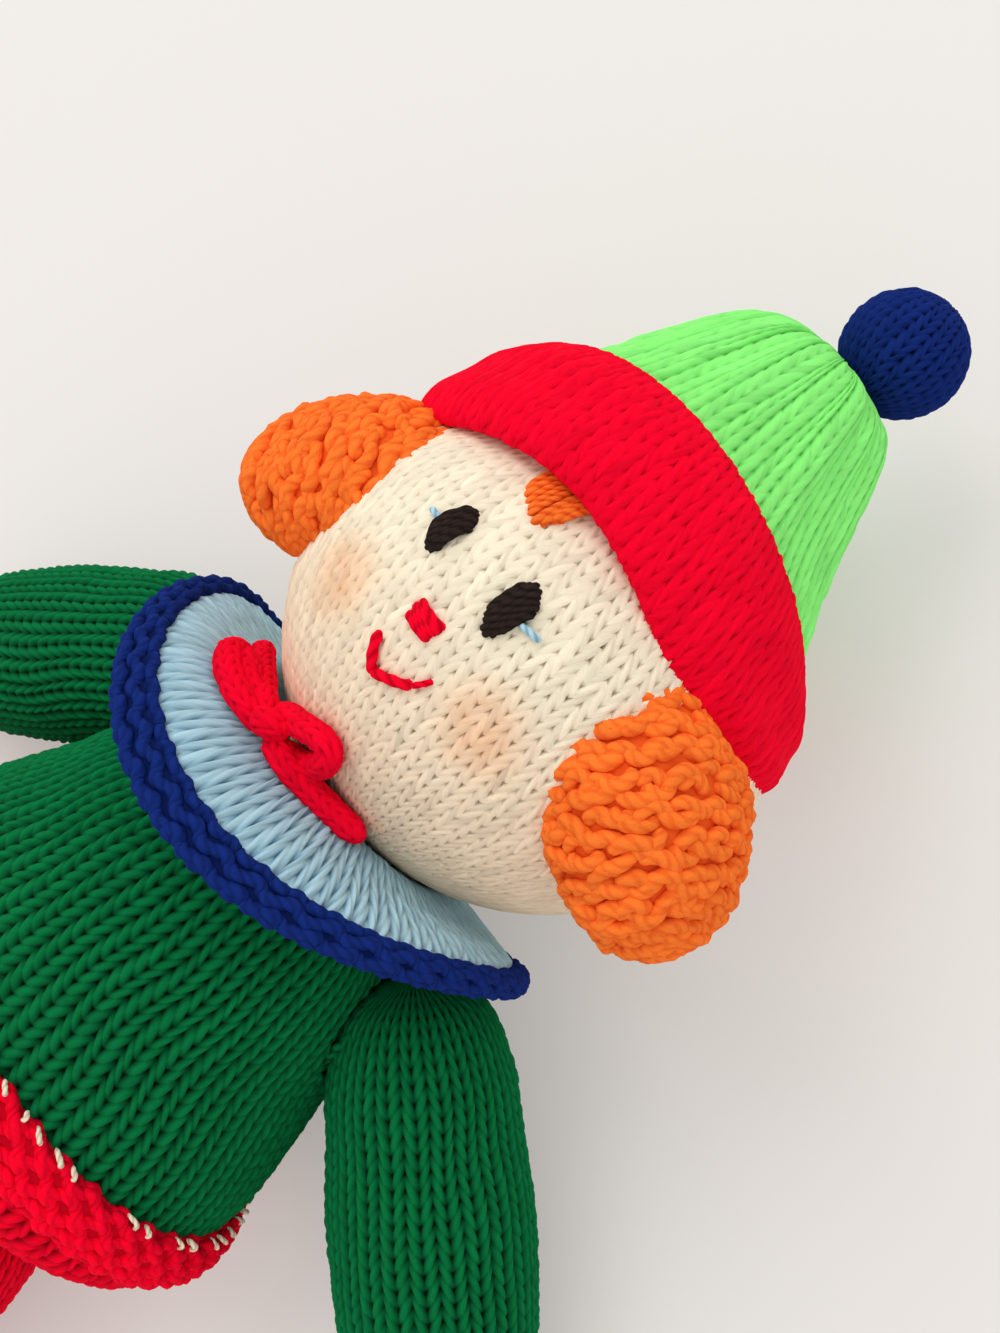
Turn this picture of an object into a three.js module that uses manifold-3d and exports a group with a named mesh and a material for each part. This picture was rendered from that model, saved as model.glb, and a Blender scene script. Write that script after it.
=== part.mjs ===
// Knitted clown doll lying on its back.
// Millimetres; +Z is up out of the chest, +Y runs towards the hat, +X is the doll's left.
// The origin is the middle of the flat on the jumper's back that the doll lies on.

import * as THREE from 'three';
import { mergeVertices } from 'three/addons/utils/BufferGeometryUtils.js';
import Module from 'manifold-3d';

const wasm = await Module();
wasm.setup();

// Clearances and fabric
const SEWN_GAP = 0.4;          // between pieces that touch
const FILL_GAP = 0.9;          // between a cover and the stuffing in it
const COVER = 2.6;             // thickness of the knitted fabric
const REST_CUT = 0.5;          // depth of the flats that the doll lies on
const YARN = 0.9;              // half thickness of a sewing yarn

// Jumper and trousers
const BELLY_R = 33;            // half width at the widest row
const BELLY_Y = 0;
const WAIST_R = 29.5;
const WAIST_Y = -26;
const WAIST_SPREAD = 0.21;     // lying down, the body spreads sideways by this share at the waist
const SHOULDER_R = 26.5;
const SHOULDER_Y = 21;
const NECK_R = 14;
const TORSO_TOP = 33;
const SEAT_R = 31;
const SEAT_Y = -36;
const SEAT_END = -52;
const BAND_WIDTH = 8;          // garter edge of the trousers
const BAND_THICK = 2.3;
const TORSO_Z = BELLY_R - REST_CUT;

// Head and face
const HEAD_HALF_WIDTH = 37.5;
const HEAD_HALF_HEIGHT = 38;
const HEAD_HALF_DEPTH = 39;
const HEAD_Y = 70;
const HEAD_Z = HEAD_HALF_DEPTH - REST_CUT;
const HEAD_TILT = 6;           // degrees that the head leans to the doll's right
const HAT_FROM = 2;            // the hat draws the head in, from here
const HAT_FULL = 22;           // to here
const HAT_SQUEEZE = 0.12;      // by this share
const NECK_OPENING = 7;
const THREAD_R = 11.5;         // ring of drawn-up yarn at the neck
const FACE_THICK = 1.3;        // embroidery stands this far off the face
const EYE_X = 6.5;
const EYE_Y = 2;
const EYE_LONG = 8.4;
const EYE_WIDE = 4.4;
const LASH_LONG = 3.2;
const LASH_WIDE = 1;
const NOSE_Y = -6.4;
const NOSE_SIZE = 4.4;
const MOUTH_RIGHT = new THREE.Vector2(-3.9, -12.4);
const MOUTH_LOW = new THREE.Vector2(-1.1, -16);
const MOUTH_TURN = new THREE.Vector2(3.8, -13.6);
const MOUTH_LEFT = new THREE.Vector2(5.4, -11.2);
const STITCH_WIDE = 1.3;       // width of the mouth's stitches
const FORELOCK_X = -2;
const FORELOCK_LONG = 6;
const FORELOCK_WIDE = 6.6;

// Hair puffs, from the middle of the head
const HAIR_X = 30;
const HAIR_Y = -2.6;
const HAIR_Z = 17.9;
const HAIR_HALF_X = 18.6;
const HAIR_HALF_Y = 11.4;
const HAIR_HALF_Z = 14.5;
const HAIR_LEAN = -39;         // degrees that a puff's outer end hangs down
const HAIR_YAW = 14;           // and turns back
const HAIR_PITCH = 25;         // and rolls about its own length

// Hat, from the middle of the head
const CUFF_LOW = 7.5;
const CUFF_HIGH = 22;
const CUFF_LOW_R = HEAD_HALF_DEPTH - 0.6;
const CUFF_HIGH_R = HEAD_HALF_DEPTH - 5.6;
const CUFF_THICK = 6;
const CUFF_X = -1.5;           // the hat sits a little to the doll's right
const BRIM_LIFT = 8.7;         // the cuff's lower edge rises over the face
const TOP_LIFT = 11.5;         // and its upper edge rises a little more
const CROWN_LOW = 19;
const CROWN_LOW_R = 31;
const CROWN_SIDE = 25;
const CROWN_SIDE_R = 28.8;
const CROWN_BEND = 36;
const CROWN_BEND_R = 22.8;
const CROWN_MID = 44;
const CROWN_MID_R = 19.2;
const CROWN_HIGH = 56;
const CROWN_HIGH_R = 12.6;
const CROWN_END = 60;
const CROWN_SAG = 6;           // the tip hangs this far towards the ground
const CROWN_X = -3;
const CROWN_LEAN = -1.5;       // and leans this far to the doll's right
const POMPOM_R = 9.4;
const POMPOM_OPENING = 2;
const POMPOM_TILT = 0.15;      // slope of the line from the hat's tip down to the pompom
const POMPOM_TURN = 0.56;      // and to the doll's left

// Collar and bow
const COLLAR_Z = HEAD_Z + 0.3;
const COLLAR_X = -1;
const COLLAR_IN_R = 14;
const DRAPE_FROM_R = 17.5;     // from here on the collar drapes
const COLLAR_OUT_R = 35.3;
const EDGING_WIDE = 3.4;
const COLLAR_THICK = 2.8;
const COLLAR_Y = 31.2;         // height of the seam round the neck
const DRAPE_SIDES = 2.7;       // the rim's lift above the seam at the sides
const DRAPE_LEFT = 5;          // and more on the doll's left, where the arm pushes it up
const DRAPE_FRONT = -11.5;     // the front hangs on the chest
const DRAPE_REAR = -12;        // and the rear on the back
const DRAPE_SKEW = 1.2;        // the doll's right side hangs a little lower
const DRAPE_ROLL = 2.2;        // the fabric rises from the seam before it falls
const CORD_R = 1.7;
const KNOT_R = 2.6;
const BOW_KNOT = new THREE.Vector3(-5, 37.6, 65.4);
const UPPER_LOOP = new THREE.Vector3(-19.6, 36, 61);
const LOWER_LOOP = new THREE.Vector3(4.2, 42.8, 69.2);
const UPPER_TAIL = new THREE.Vector3(-22.3, 37.4, 51);
const LOWER_TAIL = new THREE.Vector3(11.2, 37.2, 59.6);
const LOOP_HALF = 2.6;         // half width of a loop at its middle

// Arms
const SHOULDER_JOINT = new THREE.Vector3(40.7, 17, 29.5);
const ROOT_R = 13.5;
const SLEEVE_R = 15.2;
const SLEEVE_LONG = 56;
const WRIST_R = 10;
const HAND_R = 10.6;
const HAND_LONG = 20;
const RIGHT_SPREAD = 41;       // degrees from the body's axis
const LEFT_SPREAD = 56;
const ARM_DROP = 16;           // degrees down to the ground
const SEAM_R = 10.4;            // ring of yarn that sews the arm on

// Legs and shoes
const HIP_JOINT = new THREE.Vector3(17, -61.5, 27);
const HIP_R = 13.5;
const THIGH_R = 15.2;
const LEG_LONG = 54;
const ANKLE_R = 11.5;
const LEG_SPLAY = 5;           // degrees outwards
const LEG_DROP = 9;            // degrees down to the ground
const SHOE_HALF_X = 13;
const SHOE_HALF_Y = 13;
const SHOE_HALF_Z = 19;
const SOLE_CUT = 3;

// Facets round a piece, by its size
const ROUND = 20;
const ROUND_LIMB = 14;
const ROUND_SMALL = 12;
const ROUND_FILL = 10;
const GROUND_SIZE = 800;
const FACET_ROOM = 0.5;        // a coarse cutting ball is made larger by the depth of its facets

const colours = {
  cream: '#f6e6c8',
  red: '#d8112e',
  lime: '#7df06a',
  navy: '#14235f',
  orange: '#ff7a2c',
  green: '#065c33',
  blue: '#abd4e6',
  dark: '#221b17',
  fibre: '#f4f2ec',
};

const doll = new THREE.Group();
doll.name = 'knitted_clown_doll';

// Welds a geometry's corners, drops empty triangles and turns its faces outwards.
function weld(source) {
  const bare = source.index ? source.clone() : mergeVertices(source.clone());
  bare.deleteAttribute('normal');
  bare.deleteAttribute('uv');
  const welded = mergeVertices(bare, 1e-4);
  const p = welded.attributes.position;
  const kept = [];
  const a = new THREE.Vector3();
  const b = new THREE.Vector3();
  const c = new THREE.Vector3();
  let volume = 0;
  for (let i = 0; i < welded.index.count; i += 3) {
    const [u, v, w] = [0, 1, 2].map((k) => welded.index.getX(i + k));
    if (u === v || v === w || w === u) continue;
    kept.push(u, v, w);
    a.fromBufferAttribute(p, u);
    b.fromBufferAttribute(p, v);
    c.fromBufferAttribute(p, w);
    volume += a.dot(b.cross(c));
  }
  if (volume < 0) {
    for (let i = 0; i < kept.length; i += 3) {
      [kept[i], kept[i + 1]] = [kept[i + 1], kept[i]];
    }
  }
  welded.setIndex(kept);
  return welded;
}

function solid(source) {
  const g = weld(source);
  return new wasm.Manifold(new wasm.Mesh({
    numProp: 3,
    vertProperties: new Float32Array(g.attributes.position.array),
    triVerts: new Uint32Array(g.index.array),
  }));
}

function surface(body) {
  const m = body.getMesh();
  const g = new THREE.BufferGeometry();
  g.setAttribute('position', new THREE.BufferAttribute(new Float32Array(m.vertProperties), 3));
  g.setIndex(new THREE.BufferAttribute(new Uint32Array(m.triVerts), 1));
  return g;
}

function piece(name, shape, colour, parent = doll) {
  const geometry = shape instanceof THREE.BufferGeometry ? weld(shape) : surface(shape);
  geometry.computeVertexNormals();
  const material = new THREE.MeshStandardMaterial({ color: colours[colour], roughness: 0.95, metalness: 0 });
  const mesh = new THREE.Mesh(geometry, material);
  mesh.name = name;
  parent.add(mesh);
  return mesh;
}

// A smooth outline through a few points, given as radius and height.
function outline(points, count) {
  const curve = new THREE.SplineCurve(points.map(([r, y]) => new THREE.Vector2(r, y)));
  const found = curve.getSpacedPoints(count);
  found.forEach((q) => q.setX(Math.max(q.x, 0)));
  const last = found[found.length - 1];
  if (points[points.length - 1][0] === 0) last.setX(0);
  if (points[0][0] === 0) found[0].setX(0);
  return found;
}

function ellipseOutline(rx, ry, opening, count) {
  const start = Math.asin(opening / rx);
  const found = [];
  for (let i = 0; i <= count; i += 1) {
    const t = start + ((Math.PI - start) * i) / count;
    found.push(new THREE.Vector2(i === count ? 0 : rx * Math.sin(t), -ry * Math.cos(t)));
  }
  return found;
}

// The outline moved inwards by a distance; its closed end stays on the axis.
function inset(points, distance) {
  const last = points.length - 1;
  const rising = Math.sign(points[last].y - points[0].y);
  return points.map((q, i) => {
    if (i === last) return new THREE.Vector2(0, q.y - rising * distance);
    const before = points[Math.max(i - 1, 0)];
    const along = points[i + 1].clone().sub(before).normalize();
    const away = rising * distance;
    return new THREE.Vector2(Math.max(q.x - along.y * away, 0), q.y + along.x * away);
  });
}

function revolve(points, facets) {
  return new THREE.LatheGeometry(points, facets);
}

// A knitted bag: closed at the outline's end and open at its start.
function bag(points, facets, thickness = COVER) {
  const inner = inset(points, thickness);
  inner[0].y = points[0].y;
  return revolve([...inner.reverse(), ...points], facets);
}

// The stuffing that fills such a bag.
function filling(points, facets) {
  const inner = inset(points, COVER + FILL_GAP);
  inner[0].y = points[0].y;
  return revolve([new THREE.Vector2(0, inner[0].y), ...inner], facets);
}

function ball(rx, ry, rz, centre, across = ROUND, down = 12) {
  const g = new THREE.SphereGeometry(1, across, down);
  g.scale(rx, ry, rz);
  g.translate(centre.x, centre.y, centre.z);
  return g;
}

function ring(major, minor, centre, axis, facets = 6, around = ROUND_SMALL) {
  const g = new THREE.TorusGeometry(major, minor, facets, around);
  const turn = new THREE.Quaternion().setFromUnitVectors(new THREE.Vector3(0, 0, 1), axis);
  g.applyQuaternion(turn);
  g.translate(centre.x, centre.y, centre.z);
  return g;
}

// A flat ring or band that is closed all round, from a closed outline.
function band(points, facets, count) {
  const curve = new THREE.CatmullRomCurve3(points.map(([r, y]) => new THREE.Vector3(r, y, 0)), true);
  const found = curve.getSpacedPoints(count).map((q) => new THREE.Vector2(q.x, q.y));
  found[found.length - 1].copy(found[0]);
  return revolve(found, facets);
}

function deform(geometry, move) {
  const p = geometry.attributes.position;
  const q = new THREE.Vector3();
  for (let i = 0; i < p.count; i += 1) {
    q.fromBufferAttribute(p, i);
    move(q);
    p.setXYZ(i, q.x, q.y, q.z);
  }
  return geometry;
}

function ground() {
  const slab = new THREE.BoxGeometry(GROUND_SIZE, GROUND_SIZE, GROUND_SIZE);
  slab.translate(0, 0, -GROUND_SIZE / 2);
  return solid(slab);
}

const head = new THREE.Vector3(0, HEAD_Y, HEAD_Z);
const up = new THREE.Vector3(0, 1, 0);
const side = new THREE.Vector3(1, 0, 0);

// The hat draws in the head above the ears.
function drawIn(q) {
  const into = THREE.MathUtils.smoothstep(q.y, HAT_FROM, HAT_FULL);
  const share = 1 - HAT_SQUEEZE * into;
  q.x *= share;
  q.z *= share;
}

function headBall(extra, across = 48, down = 32) {
  const g = deform(ball(HEAD_HALF_WIDTH + extra, HEAD_HALF_HEIGHT + extra, HEAD_HALF_DEPTH + extra,
    new THREE.Vector3(), across, down), drawIn);
  return solid(g.translate(head.x, head.y, head.z));
}

const headRoom = headBall(SEWN_GAP + FACET_ROOM, 20, 14);

// Jumper: plump body that narrows to the drawn-up neck, open at the waist.
const torsoOutline = outline([
  [WAIST_R, WAIST_Y],
  [BELLY_R, BELLY_Y],
  [SHOULDER_R, SHOULDER_Y],
  [NECK_R, TORSO_TOP - 2.5],
  [0, TORSO_TOP],
], 9);

const seatOutline = outline([
  [WAIST_R, WAIST_Y - SEWN_GAP],
  [SEAT_R, SEAT_Y],
  [SEAT_R * 0.72, SEAT_END + 6],
  [0, SEAT_END],
], 6);

// The body spreads sideways below the arms, most at the waist, and not where the legs are sewn on.
function spreadOut(q) {
  const low = THREE.MathUtils.smoothstep(q.y, WAIST_Y, BELLY_Y);
  const end = THREE.MathUtils.smoothstep(q.y, SEAT_END + 4, SEAT_Y);
  q.x *= 1 + WAIST_SPREAD * (1 - low) * end;
}

function upOnTorso(g) {
  return deform(g, spreadOut).translate(0, 0, TORSO_Z);
}

function grown(points, distance) {
  return inset(points, -distance);
}

// The jumper's and the trousers' outer forms, solid, to cut the pieces that lie on them.
function torsoForm(extra) {
  const g = grown(torsoOutline, extra);
  const s = grown(seatOutline, extra).reverse();
  const points = [...s, ...g];
  points[0].x = 0;
  points[points.length - 1].x = 0;
  return solid(upOnTorso(revolve(points, ROUND)));
}

const cupR = HEAD_HALF_DEPTH + 2 * SEWN_GAP;
const cup = solid(ball(cupR + FACET_ROOM, cupR + FACET_ROOM, cupR + FACET_ROOM, head, 20, 14));
const threadAway = HEAD_HALF_HEIGHT + YARN + SEWN_GAP;
const threadCentre = head.clone();
threadCentre.y -= Math.sqrt(threadAway ** 2 - THREAD_R ** 2);

// Every seam ring sits in a groove; the arm's round root sits in a shallow hollow.
let bodyCuts = solid(ring(THREAD_R, YARN + SEWN_GAP, threadCentre, up)).add(cup);
const seamInset = Math.sqrt((ROOT_R + YARN + 2 * SEWN_GAP) ** 2 - SEAM_R ** 2);
const hipCuts = [];
for (const hand of [-1, 1]) {
  const joint = SHOULDER_JOINT.clone();
  joint.x *= hand;
  const room = ROOT_R + SEWN_GAP + FACET_ROOM;
  bodyCuts = bodyCuts.add(solid(ball(room, room, room, joint, ROUND_SMALL, 8)));
  const seam = joint.clone();
  seam.x -= hand * seamInset;
  bodyCuts = bodyCuts.add(solid(ring(SEAM_R, YARN + SEWN_GAP, seam, side)));
  piece(hand > 0 ? 'shoulder_thread_left' : 'shoulder_thread_right',
    ring(SEAM_R, YARN, seam, side), 'green');
  const hip = HIP_JOINT.clone();
  hip.x *= hand;
  const hipRoom = HIP_R + SEWN_GAP + FACET_ROOM;
  hipCuts.push(solid(ball(hipRoom, hipRoom, hipRoom, hip, ROUND_SMALL, 8)));
}
piece('neck_thread', ring(THREAD_R, YARN, threadCentre, up), 'cream');

const torsoCover = solid(upOnTorso(bag(torsoOutline, ROUND)));
piece('torso_cover', torsoCover.subtract(bodyCuts).subtract(ground()), 'green');

let seatCover = solid(upOnTorso(bag(seatOutline, ROUND)));
const stuffTop = inset(torsoOutline, COVER + FILL_GAP);
const stuffLow = inset(seatOutline, COVER + FILL_GAP).reverse();
let bodyFill = solid(upOnTorso(revolve([...stuffLow, ...stuffTop], ROUND_SMALL)));
bodyFill = bodyFill.subtract(bodyCuts);
for (const cut of hipCuts) {
  seatCover = seatCover.subtract(cut);
  bodyFill = bodyFill.subtract(cut);
}
piece('seat_cover', seatCover.subtract(ground()), 'red');
piece('body_stuffing', bodyFill, 'fibre');

// Garter edge of the trousers, a band over the end of the jumper.
const bandIn = WAIST_R + SEWN_GAP;
const bandOut = bandIn + BAND_THICK;
const waistband = band([
  [bandIn + BAND_THICK / 2, WAIST_Y - BAND_WIDTH / 2],
  [bandOut, WAIST_Y - BAND_WIDTH / 4],
  [bandOut, WAIST_Y + BAND_WIDTH / 4],
  [bandIn + BAND_THICK / 2, WAIST_Y + BAND_WIDTH / 2],
  [bandIn, WAIST_Y + BAND_WIDTH / 4],
  [bandIn, WAIST_Y - BAND_WIDTH / 4],
], ROUND, 10);
piece('waistband', solid(upOnTorso(waistband)).subtract(torsoForm(SEWN_GAP)).subtract(ground()), 'red');

// Head: a ball with its neck opening below, filled with fibre.
const tilted = new THREE.Group();
tilted.rotation.z = THREE.MathUtils.degToRad(HEAD_TILT);
tilted.position.copy(head).sub(head.clone().applyEuler(tilted.rotation));
doll.add(tilted);
const flatten = HEAD_HALF_DEPTH / HEAD_HALF_WIDTH;
const headOutline = ellipseOutline(HEAD_HALF_WIDTH, HEAD_HALF_HEIGHT, NECK_OPENING, 11);
function inHead(g) {
  return solid(deform(g.scale(1, 1, flatten), drawIn).translate(head.x, head.y, head.z));
}
piece('head_cover', inHead(bag(headOutline, 24)).subtract(ground()), 'cream', tilted);
piece('head_stuffing', inHead(filling(headOutline, ROUND_SMALL)), 'fibre', tilted);

// Embroidery: a flat outline on the face, given the head's own curve.
const faceBack = headBall(SEWN_GAP);
const faceFront = headBall(SEWN_GAP + FACE_THICK);
function embroidered(name, corners, colour) {
  const shape = new THREE.Shape(corners.map(([x, y]) => new THREE.Vector2(x, y)));
  const prism = new THREE.ExtrudeGeometry(shape, { depth: 2 * HEAD_HALF_DEPTH, bevelEnabled: false });
  prism.translate(head.x, head.y, head.z);
  piece(name, solid(prism).intersect(faceFront).subtract(faceBack), colour, tilted);
}

// A lozenge with blunt ends, in the face's plane.
function lozenge(x, y, half, long, lean) {
  const corners = [[0, -long], [half, -long * 0.35], [half, long * 0.35], [0, long], [-half, long * 0.35],
    [-half, -long * 0.35]];
  return corners.map(([u, v]) => [x + u + v * lean, y + v]);
}

// One straight stitch between two points, pointed at both ends.
function stitch(from, to, width) {
  const along = to.clone().sub(from).normalize();
  const start = from.clone().addScaledVector(along, SEWN_GAP);
  const end = to.clone().addScaledVector(along, -SEWN_GAP);
  const out = new THREE.Vector2(-along.y, along.x).multiplyScalar(width / 2);
  const near = start.clone().lerp(end, 0.3);
  const far = start.clone().lerp(end, 0.7);
  return [start, near.clone().sub(out), far.clone().sub(out), end, far.clone().add(out),
    near.clone().add(out)].map((q) => [q.x, q.y]);
}

for (const hand of [-1, 1]) {
  const label = hand > 0 ? 'left' : 'right';
  const eyeX = hand * EYE_X;
  embroidered(`eye_${label}`, lozenge(eyeX, EYE_Y, EYE_WIDE / 2, EYE_LONG / 2, 0.12), 'dark');
  const lashIn = hand * (EYE_X + EYE_WIDE / 2 + SEWN_GAP);
  embroidered(`lash_${label}`,
    stitch(new THREE.Vector2(lashIn, EYE_Y), new THREE.Vector2(lashIn + hand * LASH_LONG, EYE_Y), LASH_WIDE),
    'blue');
}
embroidered('mouth_right', stitch(MOUTH_RIGHT, MOUTH_LOW, STITCH_WIDE), 'red');
embroidered('mouth_middle', stitch(MOUTH_LOW, MOUTH_TURN, STITCH_WIDE), 'red');
embroidered('mouth_left', stitch(MOUTH_TURN, MOUTH_LEFT, STITCH_WIDE * 0.7), 'red');
embroidered('nose', lozenge(0, NOSE_Y, NOSE_SIZE / 2, NOSE_SIZE / 2, 0), 'red');
const forelockTop = CUFF_LOW + BRIM_LIFT - SEWN_GAP;
embroidered('forelock', [
  [FORELOCK_X - FORELOCK_WIDE * 0.2, forelockTop - FORELOCK_LONG],
  [FORELOCK_X + FORELOCK_WIDE * 0.25, forelockTop - FORELOCK_LONG],
  [FORELOCK_X + FORELOCK_WIDE / 2, forelockTop],
  [FORELOCK_X - FORELOCK_WIDE / 2, forelockTop],
], 'orange');

// Hat: turned-up cuff round the head and a crown that droops at the tip.
const cuffLean = (CUFF_LOW_R - CUFF_HIGH_R) / (CUFF_HIGH - CUFF_LOW);
function cuffAt(y) {
  return CUFF_LOW_R - cuffLean * (y - CUFF_LOW);
}
const cuffMid = (CUFF_LOW + CUFF_HIGH) / 2;
// Over the face the cuff is pushed up, so both of its edges rise there.
function cuffLift(q) {
  const front = Math.max(Math.cos(Math.atan2(q.x, q.z)), 0);
  const up01 = THREE.MathUtils.clamp((q.y - CUFF_LOW) / (CUFF_HIGH - CUFF_LOW), 0, 1);
  q.y += BRIM_LIFT * front ** 4 * (1 - up01) + TOP_LIFT * front ** 1.3 * up01;
  q.x += CUFF_X;
}
function cuffForm(extra) {
  const lowBend = CUFF_LOW + CUFF_THICK * 0.6;
  const highBend = CUFF_HIGH - CUFF_THICK * 0.6;
  const g = band([
    [CUFF_LOW_R - CUFF_THICK * 0.5, CUFF_LOW - extra],
    [cuffAt(lowBend) + extra, lowBend],
    [cuffAt(cuffMid) + extra, cuffMid],
    [cuffAt(highBend) + extra, highBend],
    [CUFF_HIGH_R - CUFF_THICK * 0.5, CUFF_HIGH + extra],
    [cuffAt(highBend) - CUFF_THICK - extra, highBend],
    [cuffAt(cuffMid) - CUFF_THICK - extra, cuffMid],
    [cuffAt(lowBend) - CUFF_THICK - extra, lowBend],
  ], 28, 12);
  deform(g, cuffLift);
  return solid(g.translate(head.x, head.y, head.z));
}
const cuffBody = cuffForm(0).subtract(headRoom).subtract(ground());

// Hair: a dome on each side of the head, open where it is sewn on.
const hairAway = headRoom.add(cuffForm(SEWN_GAP + FACET_ROOM));
for (const hand of [-1, 1]) {
  const label = hand > 0 ? 'left' : 'right';
  const centre = new THREE.Vector3(hand * HAIR_X, HAIR_Y, HAIR_Z).add(head);
  const hang = new THREE.Euler(THREE.MathUtils.degToRad(HAIR_PITCH), hand * THREE.MathUtils.degToRad(HAIR_YAW),
    hand * THREE.MathUtils.degToRad(HAIR_LEAN), 'ZYX');
  const turned = new THREE.Matrix4().makeRotationFromEuler(hang).setPosition(centre);
  const dome = (less) => solid(ball(
    HAIR_HALF_X - less, HAIR_HALF_Y - less, HAIR_HALF_Z - less, new THREE.Vector3(), 14, 9).applyMatrix4(turned));
  piece(`hair_${label}`, dome(0).subtract(dome(COVER)).subtract(hairAway), 'orange', tilted);
  piece(`hair_stuffing_${label}`, dome(COVER + FILL_GAP).subtract(hairAway), 'fibre', tilted);
}

function droop(q) {
  const past = Math.max(q.y - CUFF_HIGH, 0) / (CROWN_END - CUFF_HIGH);
  q.z -= CROWN_SAG * past * past;
  q.x += CROWN_X + CROWN_LEAN * past;
}
const crownOutline = outline([
  [CROWN_LOW_R, CROWN_LOW],
  [CROWN_SIDE_R, CROWN_SIDE],
  [CROWN_BEND_R, CROWN_BEND],
  [CROWN_MID_R, CROWN_MID],
  [CROWN_HIGH_R, CROWN_HIGH],
  [0, CROWN_END],
], 7);
const crown = deform(bag(crownOutline, ROUND), droop);
crown.translate(head.x, head.y, head.z);
const crownSolid = solid(crown).subtract(headRoom);
const crownFill = deform(filling(crownOutline, ROUND_SMALL), droop);
crownFill.translate(head.x, head.y, head.z);
const crownRoom = deform(revolve([
  new THREE.Vector2(0, CROWN_LOW - SEWN_GAP),
  new THREE.Vector2(CROWN_LOW_R + SEWN_GAP, CROWN_LOW - SEWN_GAP),
  ...grown(crownOutline, SEWN_GAP),
], ROUND), droop);
crownRoom.translate(head.x, head.y, head.z);
piece('hat_cuff', cuffBody.subtract(solid(crownRoom)), 'red', tilted);
piece('hat_crown', crownSolid, 'lime', tilted);
piece('hat_stuffing', solid(crownFill).subtract(headRoom), 'fibre', tilted);

// Pompom: a small knitted ball tied to the hat's tip.
const tip = new THREE.Vector3(CROWN_X + CROWN_LEAN, CROWN_END, -CROWN_SAG).add(head);
const pompomWay = new THREE.Vector3(POMPOM_TURN, 1, -POMPOM_TILT).normalize();
const pompomPlace = new THREE.Group();
const pompomBase = Math.sqrt(POMPOM_R ** 2 - POMPOM_OPENING ** 2);
pompomPlace.position.copy(tip).addScaledVector(pompomWay, pompomBase + 3 * SEWN_GAP);
pompomPlace.quaternion.setFromUnitVectors(up, pompomWay);
tilted.add(pompomPlace);
const pompomOutline = ellipseOutline(POMPOM_R, POMPOM_R, POMPOM_OPENING, 7);
piece('pompom_cover', bag(pompomOutline, ROUND_LIMB), 'navy', pompomPlace);
piece('pompom_stuffing', filling(pompomOutline, ROUND_FILL), 'fibre', pompomPlace);

// Collar: a flared ring whose front hangs on the chest and whose sides stand up.
function rimLift(turn) {
  const front = Math.max(Math.cos(turn), 0);
  const rear = Math.max(-Math.cos(turn), 0);
  const skew = DRAPE_SKEW * 2 * Math.sin(turn) * front;
  return DRAPE_SIDES + DRAPE_FRONT * front * front + DRAPE_REAR * rear * rear + skew;
}
function drape(q) {
  const r = Math.hypot(q.x, q.z);
  const turn = Math.atan2(q.x, q.z);
  const out = Math.max(r - DRAPE_FROM_R, 0) / (COLLAR_OUT_R + EDGING_WIDE - DRAPE_FROM_R);
  const left = Math.max(Math.sin(turn), 0);
  q.y += rimLift(turn) * out * out + DRAPE_LEFT * left ** 3 * out;
  q.y += DRAPE_ROLL * Math.sin(Math.PI * Math.min(out, 1));
}
function collarRing(from, to, low, high) {
  const fold = Math.max(from, DRAPE_FROM_R);
  const inner = fold > from ? fold : from + (to - from) / 3;
  const outer = fold > from ? (fold + to) / 2 : to - (to - from) / 3;
  const points = [
    [from, low], [inner, low], [outer, low], [to, low],
    [to, high], [outer, high], [inner, high], [from, high], [from, low],
  ];
  const g = revolve(points.map(([r, y]) => new THREE.Vector2(r, y)), 32);
  deform(g, drape);
  g.translate(COLLAR_X, COLLAR_Y, COLLAR_Z);
  return g;
}
const collarAway = torsoForm(SEWN_GAP);
const edgeFrom = COLLAR_OUT_R + SEWN_GAP;
const half = COLLAR_THICK / 2;
piece('collar', solid(collarRing(COLLAR_IN_R, COLLAR_OUT_R, -half, half)).subtract(collarAway), 'blue');
piece('collar_edging', collarRing(edgeFrom, COLLAR_OUT_R + EDGING_WIDE, -half * 1.15, half * 1.15), 'navy');

// Bow: one knitted cord, two loops and two tails under a knot, in the fold between chin and collar.
function cord(points, closed) {
  const path = new THREE.CatmullRomCurve3(points, closed);
  const round = new THREE.Shape();
  round.absarc(0, 0, CORD_R, 0, 2 * Math.PI, false);
  return solid(new THREE.ExtrudeGeometry(round, { steps: 7, extrudePath: path, curveSegments: 3,
    bevelEnabled: false }));
}
let bow = solid(ball(KNOT_R, KNOT_R, KNOT_R, BOW_KNOT, 10, 6));
for (const far of [UPPER_LOOP, LOWER_LOOP]) {
  const across = far.clone().sub(BOW_KNOT).cross(up).normalize().multiplyScalar(LOOP_HALF);
  const middle = BOW_KNOT.clone().lerp(far, 0.6);
  bow = bow.add(cord([
    BOW_KNOT.clone(),
    middle.clone().add(across),
    far.clone(),
    middle.clone().sub(across),
  ], true));
}
for (const far of [UPPER_TAIL, LOWER_TAIL]) {
  const middle = BOW_KNOT.clone().lerp(far, 0.5);
  middle.y += CORD_R / 2;
  bow = bow.add(cord([BOW_KNOT.clone(), middle, far.clone()], false));
}
const chin = solid(ball(cupR, cupR, cupR, head, 32, 22));
const bowAway = chin.add(solid(collarRing(COLLAR_IN_R, COLLAR_OUT_R, -half, half + SEWN_GAP)));
piece('bow', bow.subtract(bowAway), 'red');

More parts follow.
